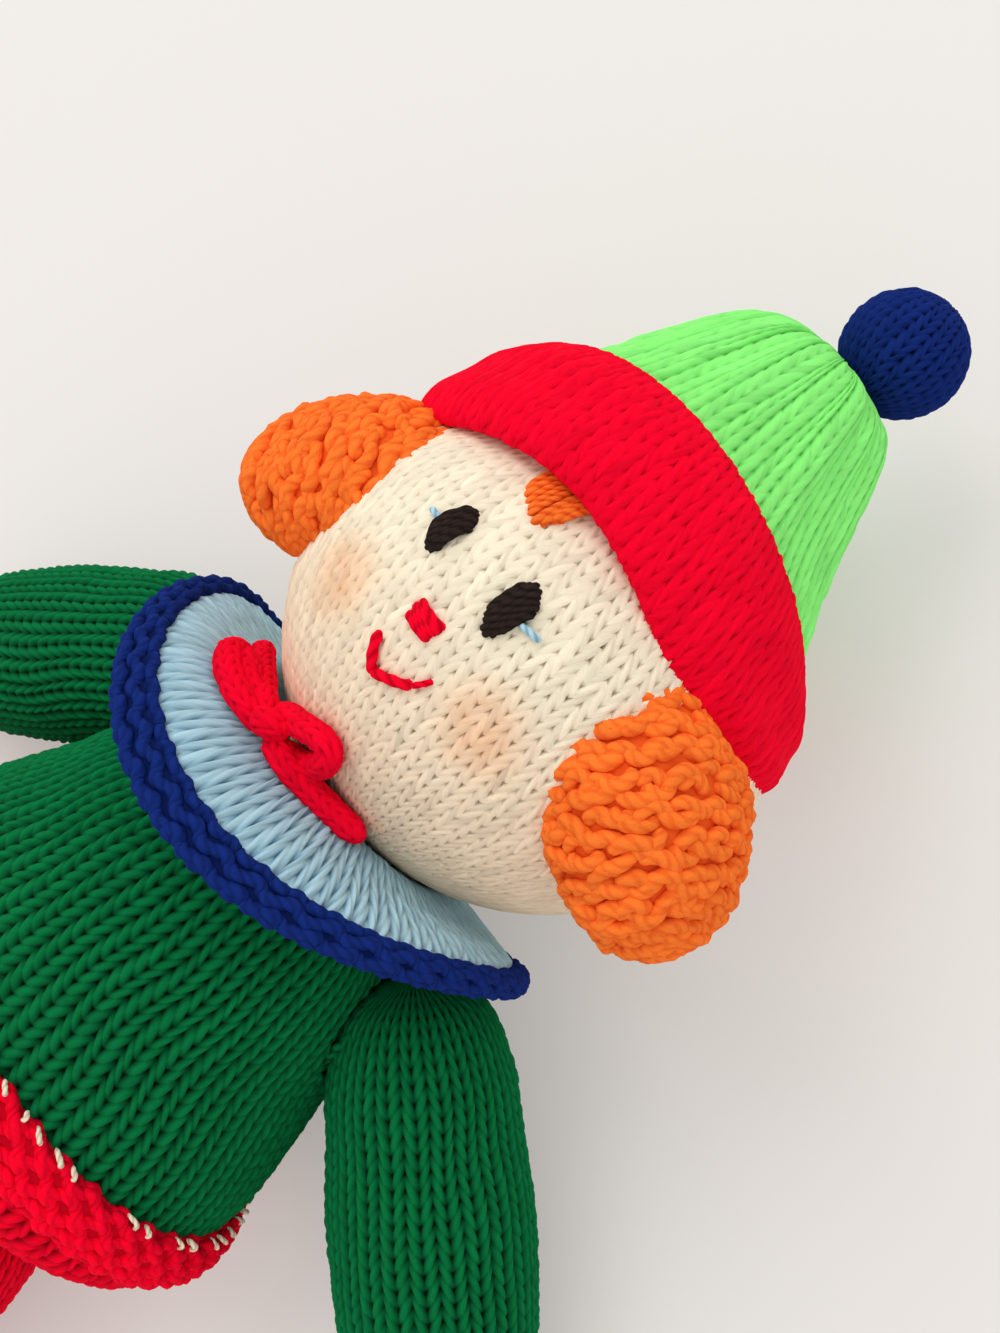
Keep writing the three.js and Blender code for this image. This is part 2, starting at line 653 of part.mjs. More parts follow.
// Arms: a sleeve from its round root to the wrist, closed by a mitten.
const sleeveOutline = outline([
  [WRIST_R, SLEEVE_LONG],
  [SLEEVE_R * 0.94, SLEEVE_LONG * 0.7],
  [SLEEVE_R, SLEEVE_LONG * 0.36],
  [ROOT_R, 0],
  [ROOT_R * 0.71, -ROOT_R * 0.71],
  [0, -ROOT_R],
], 9);
const handOutline = outline([
  [WRIST_R - SEWN_GAP, SLEEVE_LONG + SEWN_GAP],
  [HAND_R, SLEEVE_LONG + HAND_LONG * 0.4],
  [HAND_R * 0.72, SLEEVE_LONG + HAND_LONG * 0.85],
  [0, SLEEVE_LONG + HAND_LONG],
], 5);

// A limb's stuffing runs through both of its bags.
function limbFill(rootOutline, endOutline, facets) {
  const low = inset(rootOutline, COVER + FILL_GAP).reverse();
  const high = inset(endOutline, COVER + FILL_GAP);
  return revolve([...low, ...high], facets);
}

const degrees = THREE.MathUtils.degToRad;
for (const hand of [-1, 1]) {
  const label = hand > 0 ? 'left' : 'right';
  const arm = new THREE.Group();
  arm.position.copy(SHOULDER_JOINT);
  arm.position.x *= hand;
  const level = Math.cos(degrees(ARM_DROP));
  const spread = degrees(hand > 0 ? LEFT_SPREAD : RIGHT_SPREAD);
  const way = new THREE.Vector3(hand * Math.sin(spread) * level,
    -Math.cos(spread) * level, -Math.sin(degrees(ARM_DROP)));
  arm.quaternion.setFromUnitVectors(up, way);
  doll.add(arm);
  piece(`sleeve_${label}`, bag(sleeveOutline, ROUND_LIMB), 'green', arm);
  piece(`hand_${label}`, bag(handOutline, ROUND_LIMB), 'cream', arm);
  piece(`arm_stuffing_${label}`, limbFill(sleeveOutline, handOutline, ROUND_FILL), 'fibre', arm);
}

// Legs: a trouser leg from its round root to the ankle, and a shoe with its toe up.
const legOutline = outline([
  [ANKLE_R, LEG_LONG],
  [THIGH_R * 0.96, LEG_LONG * 0.66],
  [THIGH_R, LEG_LONG * 0.38],
  [HIP_R, 0],
  [HIP_R * 0.71, -HIP_R * 0.71],
  [0, -HIP_R],
], 9);

for (const hand of [-1, 1]) {
  const label = hand > 0 ? 'left' : 'right';
  const leg = new THREE.Group();
  leg.position.copy(HIP_JOINT);
  leg.position.x *= hand;
  const level = Math.cos(degrees(LEG_DROP));
  const way = new THREE.Vector3(hand * Math.sin(degrees(LEG_SPLAY)) * level,
    -Math.cos(degrees(LEG_SPLAY)) * level, -Math.sin(degrees(LEG_DROP)));
  leg.quaternion.setFromUnitVectors(up, way);
  doll.add(leg);
  leg.updateMatrixWorld(true);
  const legForm = bag(legOutline, ROUND_LIMB);
  piece(`trouser_leg_${label}`, legForm, 'red', leg);

  // The shoe is shaped where it stands, and then handed to the leg's own frame.
  const ankle = leg.localToWorld(new THREE.Vector3(0, LEG_LONG, 0));
  const middle = ankle.clone();
  middle.y -= SHOE_HALF_Y - SOLE_CUT;
  middle.z = SHOE_HALF_Z - REST_CUT;
  const shoe = (less) => ball(SHOE_HALF_X - less, SHOE_HALF_Y - less, SHOE_HALF_Z - less, middle, 14, 9);
  const sole = new THREE.BoxGeometry(GROUND_SIZE, GROUND_SIZE, GROUND_SIZE);
  sole.translate(middle.x, middle.y - SHOE_HALF_Y + SOLE_CUT - GROUND_SIZE / 2, middle.z);
  const innerSole = sole.clone().translate(0, COVER, 0);
  const fillSole = sole.clone().translate(0, COVER + FILL_GAP, 0);
  const toShoe = leg.matrixWorld;
  const legRoom = solid(revolve([
    new THREE.Vector2(0, -HIP_R),
    new THREE.Vector2(ANKLE_R + SEWN_GAP + FACET_ROOM, 0),
    new THREE.Vector2(ANKLE_R + SEWN_GAP + FACET_ROOM, LEG_LONG + SEWN_GAP),
    new THREE.Vector2(0, LEG_LONG + SEWN_GAP),
  ], ROUND_LIMB).applyMatrix4(toShoe));
  const throat = solid(revolve([
    new THREE.Vector2(0, 0),
    new THREE.Vector2(ANKLE_R - COVER, 0),
    new THREE.Vector2(ANKLE_R - COVER, LEG_LONG + SHOE_HALF_Y * 0.8),
    new THREE.Vector2(0, LEG_LONG + SHOE_HALF_Y * 0.8),
  ], ROUND_SMALL).applyMatrix4(toShoe));
  const hollow = solid(shoe(COVER)).subtract(solid(innerSole)).add(throat);
  const upper = solid(shoe(0)).subtract(solid(sole)).subtract(hollow);
  const shoeBody = upper.subtract(legRoom).subtract(ground());
  const back = leg.matrixWorld.clone().invert();
  piece(`shoe_${label}`, surface(shoeBody).applyMatrix4(back), 'navy', leg);

  const ankleFill = revolve([
    ...inset(legOutline, COVER + FILL_GAP).reverse(),
    new THREE.Vector2(ANKLE_R - COVER - SEWN_GAP, LEG_LONG + SHOE_HALF_Y * 0.5),
    new THREE.Vector2(0, LEG_LONG + SHOE_HALF_Y * 0.5),
  ], ROUND_FILL).applyMatrix4(toShoe);
  const toeFill = solid(shoe(COVER + FILL_GAP)).subtract(solid(fillSole)).subtract(
    solid(revolve([
      new THREE.Vector2(0, -HIP_R),
      new THREE.Vector2(ANKLE_R + SEWN_GAP, 0),
      new THREE.Vector2(ANKLE_R + SEWN_GAP, LEG_LONG + 2 * SEWN_GAP),
      new THREE.Vector2(0, LEG_LONG + 2 * SEWN_GAP),
    ], ROUND_LIMB).applyMatrix4(toShoe)));
  const legFill = solid(ankleFill).add(toeFill);
  piece(`leg_stuffing_${label}`, surface(legFill).applyMatrix4(back), 'fibre', leg);
}

export default doll;
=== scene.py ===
# Knitted clown doll: every cover is knitted stitch by stitch as a closed mesh round its CAD form.
# Sizes are in millimetres and in the shared frame, and become metres when a mesh is made.
import bpy
import math
import numpy as np
from mathutils import Matrix


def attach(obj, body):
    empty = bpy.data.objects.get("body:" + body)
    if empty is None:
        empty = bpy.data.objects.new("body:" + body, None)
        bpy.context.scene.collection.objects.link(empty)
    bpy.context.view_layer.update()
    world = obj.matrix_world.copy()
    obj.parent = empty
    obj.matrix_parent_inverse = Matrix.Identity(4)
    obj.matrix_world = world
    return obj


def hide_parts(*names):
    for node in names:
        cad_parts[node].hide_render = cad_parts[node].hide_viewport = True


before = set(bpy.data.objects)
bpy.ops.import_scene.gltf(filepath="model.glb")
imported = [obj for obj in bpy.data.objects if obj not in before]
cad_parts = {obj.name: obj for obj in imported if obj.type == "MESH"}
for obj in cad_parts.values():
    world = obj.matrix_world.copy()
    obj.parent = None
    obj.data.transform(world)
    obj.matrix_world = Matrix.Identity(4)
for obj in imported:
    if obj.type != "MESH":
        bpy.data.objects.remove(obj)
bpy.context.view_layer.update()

MM = 0.001
TURN = 2 * math.pi
TINY = 1e-9

# The forms, as in the CAD but for a waist that spreads more
HEAD = np.array([0.0, 70.0, 38.5])
HEAD_HALF = np.array([37.5, 38.0, 39.0])
HEAD_TILT = math.radians(6)
HAT_FROM, HAT_FULL, HAT_SQUEEZE = 2.0, 22.0, 0.12
TORSO_Z = 32.5
WAIST_SPREAD = 0.35
SPREAD_TOP, SPREAD_FULL, SPREAD_FADE, SPREAD_END = 6.0, -26.0, -29.0, -50.0
SHOULDER = np.array([40.7, 17.0, 29.5])
HIP = np.array([17.0, -61.5, 27.0])
CUFF_X, CROWN_X = -1.5, -3.0
GROUND, GROUND_EASE = 0.6, 1.2


# Small helpers
def smooth(x, low, high):
    t = np.clip((x - low) / (high - low), 0, 1)
    return t * t * (3 - 2 * t)


def hump(x, wide):
    return np.exp(-((x / wide) ** 2))


def soft_max(a, b, ease):
    """The larger of two values, with a round corner where they meet."""
    return 0.5 * (a + b + np.sqrt((a - b) ** 2 + ease))


def unit(v):
    return v / np.maximum(np.linalg.norm(v, axis=-1, keepdims=True), TINY)


def round_y(r, y, t):
    """Points at a radius and a height, at the share t of a turn about +Y."""
    return np.stack([r * np.sin(TURN * t), y, r * np.cos(TURN * t)], -1)


def pressed_out(p, heart, room):
    """Moves the points that are too near to a heart out to the room it takes."""
    off = p - heart
    gap = np.linalg.norm(off, axis=-1, keepdims=True)
    return np.where(gap < room, heart + off * room / np.maximum(gap, TINY), p)


def spline(points, count=400, closed=False):
    """Points of a smooth line through the given ones, evenly spaced by length."""
    p = np.array(points, float)
    n = len(p)
    spans = n if closed else n - 1
    t = np.linspace(0, spans, count * 3, endpoint=True)
    i = np.minimum(t.astype(int), spans - 1)
    f = (t - i)[:, None]
    if closed:
        a, b, c, d = p[(i - 1) % n], p[i % n], p[(i + 1) % n], p[(i + 2) % n]
    else:
        a, b, c, d = p[np.maximum(i - 1, 0)], p[i], p[i + 1], p[np.minimum(i + 2, n - 1)]
    q = 0.5 * (2 * b + (c - a) * f + (2 * a - 5 * b + 4 * c - d) * f**2 + (3 * b - a - 3 * c + d) * f**3)
    far = np.concatenate([[0], np.cumsum(np.linalg.norm(np.diff(q, axis=0), axis=1))])
    even = np.linspace(0, far[-1], count)
    return np.stack([np.interp(even, far, q[:, k]) for k in range(p.shape[1])], 1), far[-1]


def along(line, s):
    """Where a line is at the share s of its length."""
    at = np.linspace(0, 1, len(line))
    return [np.interp(s, at, line[:, k]) for k in range(line.shape[1])]


def turn_to(way):
    """The rotation that takes +Y to a direction by the shortest turn."""
    way = unit(way)
    axis = np.cross([0, 1, 0], way)
    angle = math.acos(np.clip(way[1], -1, 1))
    return np.array(Matrix.Rotation(angle, 3, axis.tolist()))


TILT = np.array(Matrix.Rotation(HEAD_TILT, 3, "Z"))


def in_head(p):
    return p @ TILT.T + HEAD


def settle(p):
    """Presses a form gently onto the ground."""
    p[..., 2] = soft_max(p[..., 2], GROUND, GROUND_EASE)
    return p


# Meshes
WAVES, WAVES_FULL = 7, 4
ACROSS = 4                                               # grid lines across each row of stitches
END_ROWS, END_RELIEF = 1.5, 0.3                          # where a cover is closed, its stitches flatten
POLE_DEPTH = 0.3
YARN_MOVE = 40


def make_object(name, points, faces, uv, depth, vary, material, blush_and_shade=None):
    """One mesh object from points, faces (quads and triangles) and what its material reads."""
    mesh = bpy.data.meshes.new(name)
    quads, tris = faces
    loops = np.concatenate([quads.ravel(), tris.ravel()]).astype(np.int32)
    sizes = np.concatenate([np.full(len(quads), 4), np.full(len(tris), 3)])
    starts = np.concatenate([[0], np.cumsum(sizes)[:-1]]).astype(np.int32)
    mesh.vertices.add(len(points))
    mesh.vertices.foreach_set("co", (np.asarray(points) * MM).astype(np.float32).ravel())
    mesh.loops.add(len(loops))
    mesh.loops.foreach_set("vertex_index", loops)
    mesh.polygons.add(len(sizes))
    mesh.polygons.foreach_set("loop_start", starts)
    mesh.polygons.foreach_set("use_smooth", np.ones(len(sizes), bool))
    mesh.update(calc_edges=True)
    layer = mesh.uv_layers.new(name="yarn")
    layer.data.foreach_set("uv", np.asarray(uv, np.float32).ravel())
    fields = [("depth", "POINT", depth), ("vary", "FACE", vary)]
    if blush_and_shade is not None:
        fields.append(("blush_and_shade", "POINT", blush_and_shade))
    for field, domain, values in fields:
        mesh.attributes.new(field, "FLOAT", domain).data.foreach_set("value", np.asarray(values, np.float32))
    mesh.materials.append(material)
    obj = bpy.data.objects.new(name, mesh)
    bpy.context.scene.collection.objects.link(obj)
    return obj


def grid_mesh(points, loop):
    """Faces of a grid of points that is closed round, and along it too if loop; else poles close its ends."""
    lines, round_ = points.shape[:2]
    j, k = np.meshgrid(np.arange(lines if loop else lines - 1), np.arange(round_), indexing="ij")
    j2, k2 = (j + 1) % lines, (k + 1) % round_
    quads = np.stack([j * round_ + k, j * round_ + k2, j2 * round_ + k2, j2 * round_ + k], -1).reshape(-1, 4)
    flat = points.reshape(-1, 3)
    tris = np.zeros((0, 3), int)
    if not loop:
        low, high = len(flat), len(flat) + 1
        flat = np.concatenate([flat, points[:1].mean(1), points[-1:].mean(1)])
        k = np.arange(round_)
        k2 = (k + 1) % round_
        last = (lines - 1) * round_
        tris = np.concatenate([np.stack([k2, k, np.full_like(k, low)], 1),
                               np.stack([last + k, last + k2, np.full_like(k, high)], 1)])
    a, b, c, d = (flat[quads[:, i]] - flat.mean(0) for i in range(4))
    if (a * np.cross(b, c)).sum() + (a * np.cross(c, d)).sum() < 0:
        return flat, quads[:, ::-1], tris[:, ::-1], -1
    return flat, quads, tris, 1


def normals(points, loop, sign):
    across = np.roll(points, -1, 1) - np.roll(points, 1, 1)
    up = (np.roll(points, -1, 0) - np.roll(points, 1, 0)) if loop else np.gradient(points, axis=0)
    return unit(np.cross(across, up) * sign)


def waver(shape, scale, seed):
    """A slow random wave over a grid that is closed round, mostly between -1 and 1."""
    draw = np.random.default_rng(seed)
    lines, round_ = shape
    j, k = np.meshgrid(np.linspace(0, 1, lines), np.linspace(0, 1, round_, endpoint=False), indexing="ij")
    total = 0
    for _ in range(WAVES):
        m, n = draw.integers(0, scale + 1), draw.uniform(-scale, scale)
        total = total + np.sin(TURN * (m * k + n * j) + draw.uniform(0, TURN))
    return total / WAVES_FULL


def corners(left, right, low, high):
    """The yarn's coordinates at the four corners of each face of a grid."""
    pairs = ((left, low), (right, low), (right, high), (left, high))
    return np.stack([np.stack(pair, -1) for pair in pairs], -2)


def stockinette(name, surf, material, cols, rows, loop=False, slant=1.35, gauge=3.3, puff=0.8, along_leg=4,
                seed=1, merge=None, blush_and_shade=None, row=0.35, edge=0.45, middle=0.3, hole=0.7, sway=0.12,
                gather=0.0, pit=(0.16, 0.2), narrow=0.3):
    """Columns of V stitches on a surface; the grid's lines follow the two legs of each V.
    row, edge and middle are the depths of the valleys between rows, between columns and inside each V, and
    hole is that of the pits between stitches. narrow and pit are their widths, as shares of a stitch."""
    span = 2 * along_leg
    k = np.arange(cols * span)
    b = np.abs((k % span) / along_leg - 1)               # 0 in the V's point, 1 at the column's edge
    v = np.arange(rows * ACROSS + (0 if loop else 1)) / ACROSS
    a = v % 1.0
    fade = 1 if loop else (smooth(v, 0, END_ROWS) * smooth(rows - v, 0, END_ROWS))[:, None]
    shape = (len(v), len(k))
    t = k / span / cols + sway / cols * waver(shape, 5, seed) * fade
    s = (v[:, None] + fade * slant * (b - 0.5)[None, :]) / rows
    if not loop:
        s = np.clip(s + sway / rows * waver(shape, 4, seed + 50) * fade, 0, 1)
    if merge is not None:                                # every second column thins out towards the end
        share = merge * smooth(s, 0.25, 0.95)
        inside = (k % span) / span
        first = (k // span) % 2 == 0
        wide = np.where(first, inside * (1 + share), (1 + share) + inside * (1 - share))
        t = (k // (2 * span) * 2 + wide) / cols
    base = surf(t, s)
    flat, quads, tris, sign = grid_mesh(base, loop)
    column = np.linalg.norm(np.roll(base, -span, 1) - base, axis=-1)
    size = np.clip(column / gauge, 0.2, 1.15)
    # The relief: full yarn, less the valleys and the pits, with every leg a little different.
    draw = np.random.default_rng(seed + 100)
    legs = (rows + 1, cols * 2)
    row_of, leg_of = v.astype(int) % rows, k // along_leg
    plump = draw.normal(1, 0.09, legs)[row_of][:, leg_of]
    drawn = gather * smooth(s, 0.3, 0.8)
    form = 1 - row * (1 - 0.7 * np.minimum(drawn, 1)) * (1 - np.sin(math.pi * a)[:, None] ** 0.7)
    form = form - edge * (1 + drawn) * hump(1 - b, narrow)[None, :]
    form = form - middle * hump(b, narrow)[None, :]
    dip = hump(np.minimum(b, 1 - b), pit[0])[None, :] * hump(np.minimum(a, 1 - a), pit[1])[:, None]
    form = form - hole * dip * draw.normal(1, 0.25, legs)[row_of][:, leg_of]
    lift = puff * size * form * plump * (1 if loop else np.maximum(fade, END_RELIEF))
    points = base + normals(base, loop, sign) * (lift - 0.7 * puff * size)[..., None]
    flat[: points.size // 3] = points.reshape(-1, 3)
    # The relief also sets painted shade: the valleys and pits are coloured darker, and the closed poles a
    # little darker.
    depth = np.concatenate([np.clip(form, -0.8, 1).ravel(), [] if loop else [POLE_DEPTH, POLE_DEPTH]])
    # The yarn's own coordinates: along each leg and across it, moved at random from leg to leg.
    jj, kk = np.meshgrid(np.arange(len(v) if loop else len(v) - 1), np.arange(len(k)), indexing="ij")
    leg, line = kk // along_leg, jj // ACROSS
    step = (kk % along_leg) / along_leg
    rising = leg % 2
    left = np.where(rising, step, 1 - step)
    right = np.where(rising, step + 1 / along_leg, 1 - step - 1 / along_leg)
    low = (jj % ACROSS) / ACROSS
    shift = draw.uniform(0, YARN_MOVE, legs + (2,))[line % (rows + 1), leg]
    corner = (corners(left, right, low, low + 1 / ACROSS) + shift[..., None, :]).reshape(-1, 4, 2)
    if sign < 0:
        corner = corner[:, ::-1]
    uv = np.concatenate([corner.reshape(-1, 2), np.zeros((len(tris) * 3, 2))])
    vary = draw.normal(0, 1, legs)[line % (rows + 1), leg].ravel()
    vary = np.concatenate([vary, np.zeros(len(tris))])
    pink = None if blush_and_shade is None else blush_and_shade(flat)
    return make_object("knitted_" + name, flat, (quads, tris), uv, depth, vary, material, pink)


# Loose yarns: each is points, quads, triangles, the quads' yarn coordinates and the points' depths
TUBE_SIDES, TUBE_PLIES, TUBE_TWIST = 9, 3, 1.3
STRAND_SIDES, STRAND_PLIES, STRAND_TWIST, STRAND_GROOVE, STRAND_STEP = 10, 2, 2.2, 0.16, 0.22
STRAND_HINT, STRAND_POLE_DEPTH = np.array([0.3, 0.2, 1.0]), 0.2
YARN_REPEAT = 2.5
BACK_ROUND, BACK_LINES, PROBES = 64, 24, 120
ROUND_STEP, RISE_STEP = 0.002, 0.004
GARTER_SINK, GARTER_UNRULY, WAVE_POINTS = 0.35, 0.25, 18


def plies_of(plies, groove, angle):
    """How the radius of a yarn changes round it, with grooves between its plies."""
    return 1 - groove * (0.5 - 0.5 * np.cos(plies * angle))


def yarn(line, side, other, r, closed, step, depth, pole):
    """A yarn round a line, with its radius at each point and side."""
    sides = r.shape[1]
    round_ = np.arange(sides) / sides * TURN
    points = (line[:, None] + side[:, None] * (r * np.cos(round_))[..., None]
              + other[:, None] * (r * np.sin(round_))[..., None])
    flat, quads, tris, sign = grid_mesh(points, closed)
    jj, kk = np.meshgrid(np.arange(len(line) if closed else len(line) - 1), np.arange(sides), indexing="ij")
    corner = corners(kk, kk + 1, jj, jj + 1)[..., ::-1].reshape(-1, 4, 2)
    corner = corner * np.array([step / YARN_REPEAT, 1 / sides])
    if sign < 0:
        corner = corner[:, ::-1]
    return flat, quads, tris, corner, np.concatenate([depth.ravel(), [] if closed else [pole, pole]])


def tube(line, out, radius, closed=False, groove=0.13, taper=0.0):
    """A twisted yarn along points that are already close together, with the outward direction at each."""
    tangent = unit((np.roll(line, -1, 0) - np.roll(line, 1, 0)) if closed else np.gradient(line, axis=0))
    side = unit(out - tangent * (out * tangent).sum(1, keepdims=True))
    steps = np.linalg.norm(np.diff(line, axis=0, append=line[:1]), axis=1)
    far = np.concatenate([[0], np.cumsum(steps)[:-1]])
    turns = max(round(steps.sum() * TUBE_TWIST / (TURN * radius) * TUBE_PLIES), 1) / TUBE_PLIES
    round_ = np.arange(TUBE_SIDES) / TUBE_SIDES * TURN
    grow = plies_of(TUBE_PLIES, groove, round_[None, :] - TURN * turns * (far / steps.sum())[:, None])
    ends = np.ones(len(line))
    if taper:
        share = far / far[-1]
        ends = np.sqrt(np.clip(np.minimum(share, 1 - share) / taper, 0.03, 1))
    # Painted shade: darker in the grooves between the plies and on the side that faces the backing.
    depth = 0.25 + 0.75 * (grow - 1 + groove) / groove * np.clip(np.cos(round_) + 0.6, 0, 1)[None, :]
    r = radius * grow * ends[:, None]
    return yarn(line, side, np.cross(tangent, side), r, closed, steps.mean(), depth, POLE_DEPTH)


def backing(surf, loop, sink, depth):
    """A closed grid a little below a surface, coloured as painted shade by the depth it is given, and the
    sign of its normals.
    """
    tt, ss = np.meshgrid(np.arange(BACK_ROUND) / BACK_ROUND,
                         np.arange(BACK_LINES) / (BACK_LINES if loop else BACK_LINES - 1), indexing="xy")
    base = surf(tt, ss)
    sign = grid_mesh(base, loop)[3]
    flat, quads, tris, sign = grid_mesh(base - normals(base, loop, sign) * sink, loop)
    return (flat, quads, tris, np.zeros((len(quads), 4, 2)), np.full(len(flat), depth)), sign


def girth(surf, s):
    """How far it is round a surface at the share s of its height."""
    probe = surf(np.arange(PROBES) / PROBES, np.full(PROBES, s))
    return np.linalg.norm(np.diff(probe, axis=0, append=probe[:1]), axis=1).sum()


def outward(surf, t, s, sign):
    across = surf(t + ROUND_STEP, s) - surf(t - ROUND_STEP, s)
    rise = surf(t, s + RISE_STEP) - surf(t, s - RISE_STEP)
    return unit(np.cross(across, rise) * sign)


def garter(name, surf, material, rows, pitch, radius, swing, arch, seed):
    """Rows of yarn that wave round a ring, so that their crests interlock, on a closed backing."""
    draw = np.random.default_rng(seed)
    back, sign = backing(surf, True, GARTER_SINK, 0.0)
    parts = [back]
    for s in np.arange(rows) / rows:
        waves = max(round(girth(surf, s) / pitch), 3)
        t = np.arange(waves * WAVE_POINTS) / (waves * WAVE_POINTS)

        def by_wave(middle, spread, waves=waves, t=t):
            values = draw.normal(middle, spread, waves)
            return np.interp(t * waves, np.arange(waves + 1), np.append(values, values[0]))
        loose = by_wave(0, GARTER_UNRULY)
        angle = TURN * waves * t + draw.uniform(0, TURN) + loose
        rise = np.linalg.norm(surf(t, np.full_like(t, s + 0.01)) - surf(t, np.full_like(t, s - 0.01)), axis=1)
        share = 0.02 / np.maximum(rise, 0.4 * rise.max())
        at = s + swing * by_wave(1, 0.12) * share * np.cos(angle)
        out = outward(surf, t, at, sign)
        line = surf(t, at) + out * (radius * (arch * np.cos(2 * angle) - 0.35))[:, None]
        parts.append(tube(line, out, radius * draw.normal(1, 0.05), closed=True))
    return strands(name, parts, material, "knitted_")


def arcs(name, surf, material, levels, pitch, seed, radius=1.06, bend=1.5, sink=0.3):
    """Rows of short bent loops of yarn on a closed backing. Most loops of a row are bent one way and those of
    the next row the other way, drawn together in pairs of rows, and all are laid unevenly."""
    draw = np.random.default_rng(seed)
    back, sign = backing(surf, False, sink, 0.2)
    parts = [back]
    u = np.linspace(-1, 1, 15)
    step = levels[1] - levels[0]
    for i, level in enumerate(levels):
        odd = i % 2
        around = girth(surf, level)
        count = max(round(around / pitch), 3)
        for k in range(count):
            middle = (k + 0.5 * odd + draw.normal(0, 0.16)) / count
            s = np.clip(level + step * ((-0.28 if odd else 0.28) + draw.normal(0, 0.28)), 0.012, 0.988)
            tall = surf(np.array([middle, middle]), np.array([s - 0.01, s + 0.01]))
            wide = surf(np.array([middle - 0.004, middle + 0.004]), np.array([s, s]))
            per_rise = 0.02 / max(np.linalg.norm(tall[1] - tall[0]), 0.25)
            per_round = 0.008 / max(np.linalg.norm(wide[1] - wide[0]), 0.02)
            t = middle + 0.6 * pitch * draw.uniform(0.8, 1.2) * min(per_round, 1.3 / around) * u
            lean = draw.normal(0, 0.55)
            way = (1 if odd else -1) * (1 if draw.random() < 0.8 else -1)
            arch = way * bend * draw.uniform(0.6, 1.3)
            at = np.clip(s + per_rise * (arch * (0.5 - u * u) + lean * u), 0.002, 0.998)
            out = outward(surf, t, at, sign)
            high = radius * (0.1 + draw.normal(0, 0.14) - 0.8 * np.abs(u) ** 3)
            line = surf(t, at) + out * high[:, None]
            parts.append(tube(line, out, radius * draw.normal(1, 0.07), taper=0.06, groove=0.06))
    return strands(name, parts, material, "knitted_")


def carried(line, start):
    """Two directions across a line that follow it without turning round it."""
    tangent = unit(np.gradient(line, axis=0))
    side = np.zeros_like(line)
    for i in range(len(line)):
        last = side[i - 1] if i else start
        side[i] = unit(last - tangent[i] * (last @ tangent[i]))
    return side, np.cross(tangent, side)


def strand(path, radius, taper=0.12):
    """A twisted yarn along a line through a few points."""
    rough = float(np.linalg.norm(np.diff(np.array(path, float), axis=0), axis=1).sum())
    line, long = spline(path, max(int(rough / STRAND_STEP), 6))
    side, other = carried(line, STRAND_HINT)
    s = np.linspace(0, 1, len(line))
    round_ = np.arange(STRAND_SIDES) / STRAND_SIDES * TURN
    turn = s[:, None] * long / (2 * radius) * STRAND_TWIST
    grow = plies_of(STRAND_PLIES, STRAND_GROOVE, round_[None, :] - turn)
    ends = np.sqrt(np.clip(np.minimum(s, 1 - s) / taper, 0.02, 1))
    # Painted shade in the grooves between the plies.
    depth = (grow - 1 + STRAND_GROOVE) / STRAND_GROOVE
    r = radius * grow * ends[:, None]
    return yarn(line, side, other, r, False, STRAND_STEP, depth, STRAND_POLE_DEPTH)


def strands(name, parts, material, kind="sewn_"):
    """Several yarns as one piece, each with its own tone."""
    points, quads, tris, quad_uv, tri_uv, depth, quad_vary, tri_vary = ([] for _ in range(8))
    count = 0
    for i, (p, q, t, c, d) in enumerate(parts):
        tone = math.sin(7.1 * i)
        points.append(p)
        quads.append(q + count)
        tris.append(t + count)
        quad_uv.append((c + [3.7 * i, 1.3 * i]).reshape(-1, 2))
        tri_uv.append(np.zeros((len(t) * 3, 2)))
        depth.append(d)
        quad_vary.append(np.full(len(q), tone))
        tri_vary.append(np.full(len(t), tone))
        count += len(p)
    faces = (np.concatenate(quads), np.concatenate(tris))
    uv = np.concatenate(quad_uv + tri_uv)
    vary = np.concatenate(quad_vary + tri_vary)
    return make_object(kind + name, np.concatenate(points), faces, uv, np.concatenate(depth), vary, material)


# Materials
def linear(r, g, b):
    c = np.array([r, g, b]) / 255
    return tuple(np.where(c <= 0.04045, c / 12.92, ((c + 0.055) / 1.055) ** 2.4).tolist()) + (1.0,)


def add_node(tree, kind, values=None, **settings):
    """A new node with its settings, and values for its inputs by name or number."""
    node = tree.nodes.new(kind)
    for key, value in settings.items():
        setattr(node, key, value)
    for key, value in (values or {}).items():
        node.inputs[key].default_value = value
    return node


MIX_A, MIX_B, MIX_OUT = 6, 7, 2                          # the colour sockets of a mix node
YARN_SHADER = {"Roughness": 0.9, "Sheen Weight": 0.15, "Sheen Roughness": 0.5, "Specular IOR Level": 0.06}
YARN_DEPTHS = {"From Min": -0.35, "From Max": 0.7}
FIBRE_PLACE = {"Scale": (2.2, 11.0, 1.0), "Rotation": (0, 0, 0.3)}
FIBRES = {"Scale": 1.0, "Detail": 4.0, "Roughness": 0.65}
FIBRE_BUMP = {"Strength": 0.55, "Distance": 0.0004}
ROSY_SPOTS, ROSY_SHARE, ROSY_BASE = {"Scale": 420.0, "Detail": 3.0}, 0.9, 0.55
LEG_TONE = 0.05


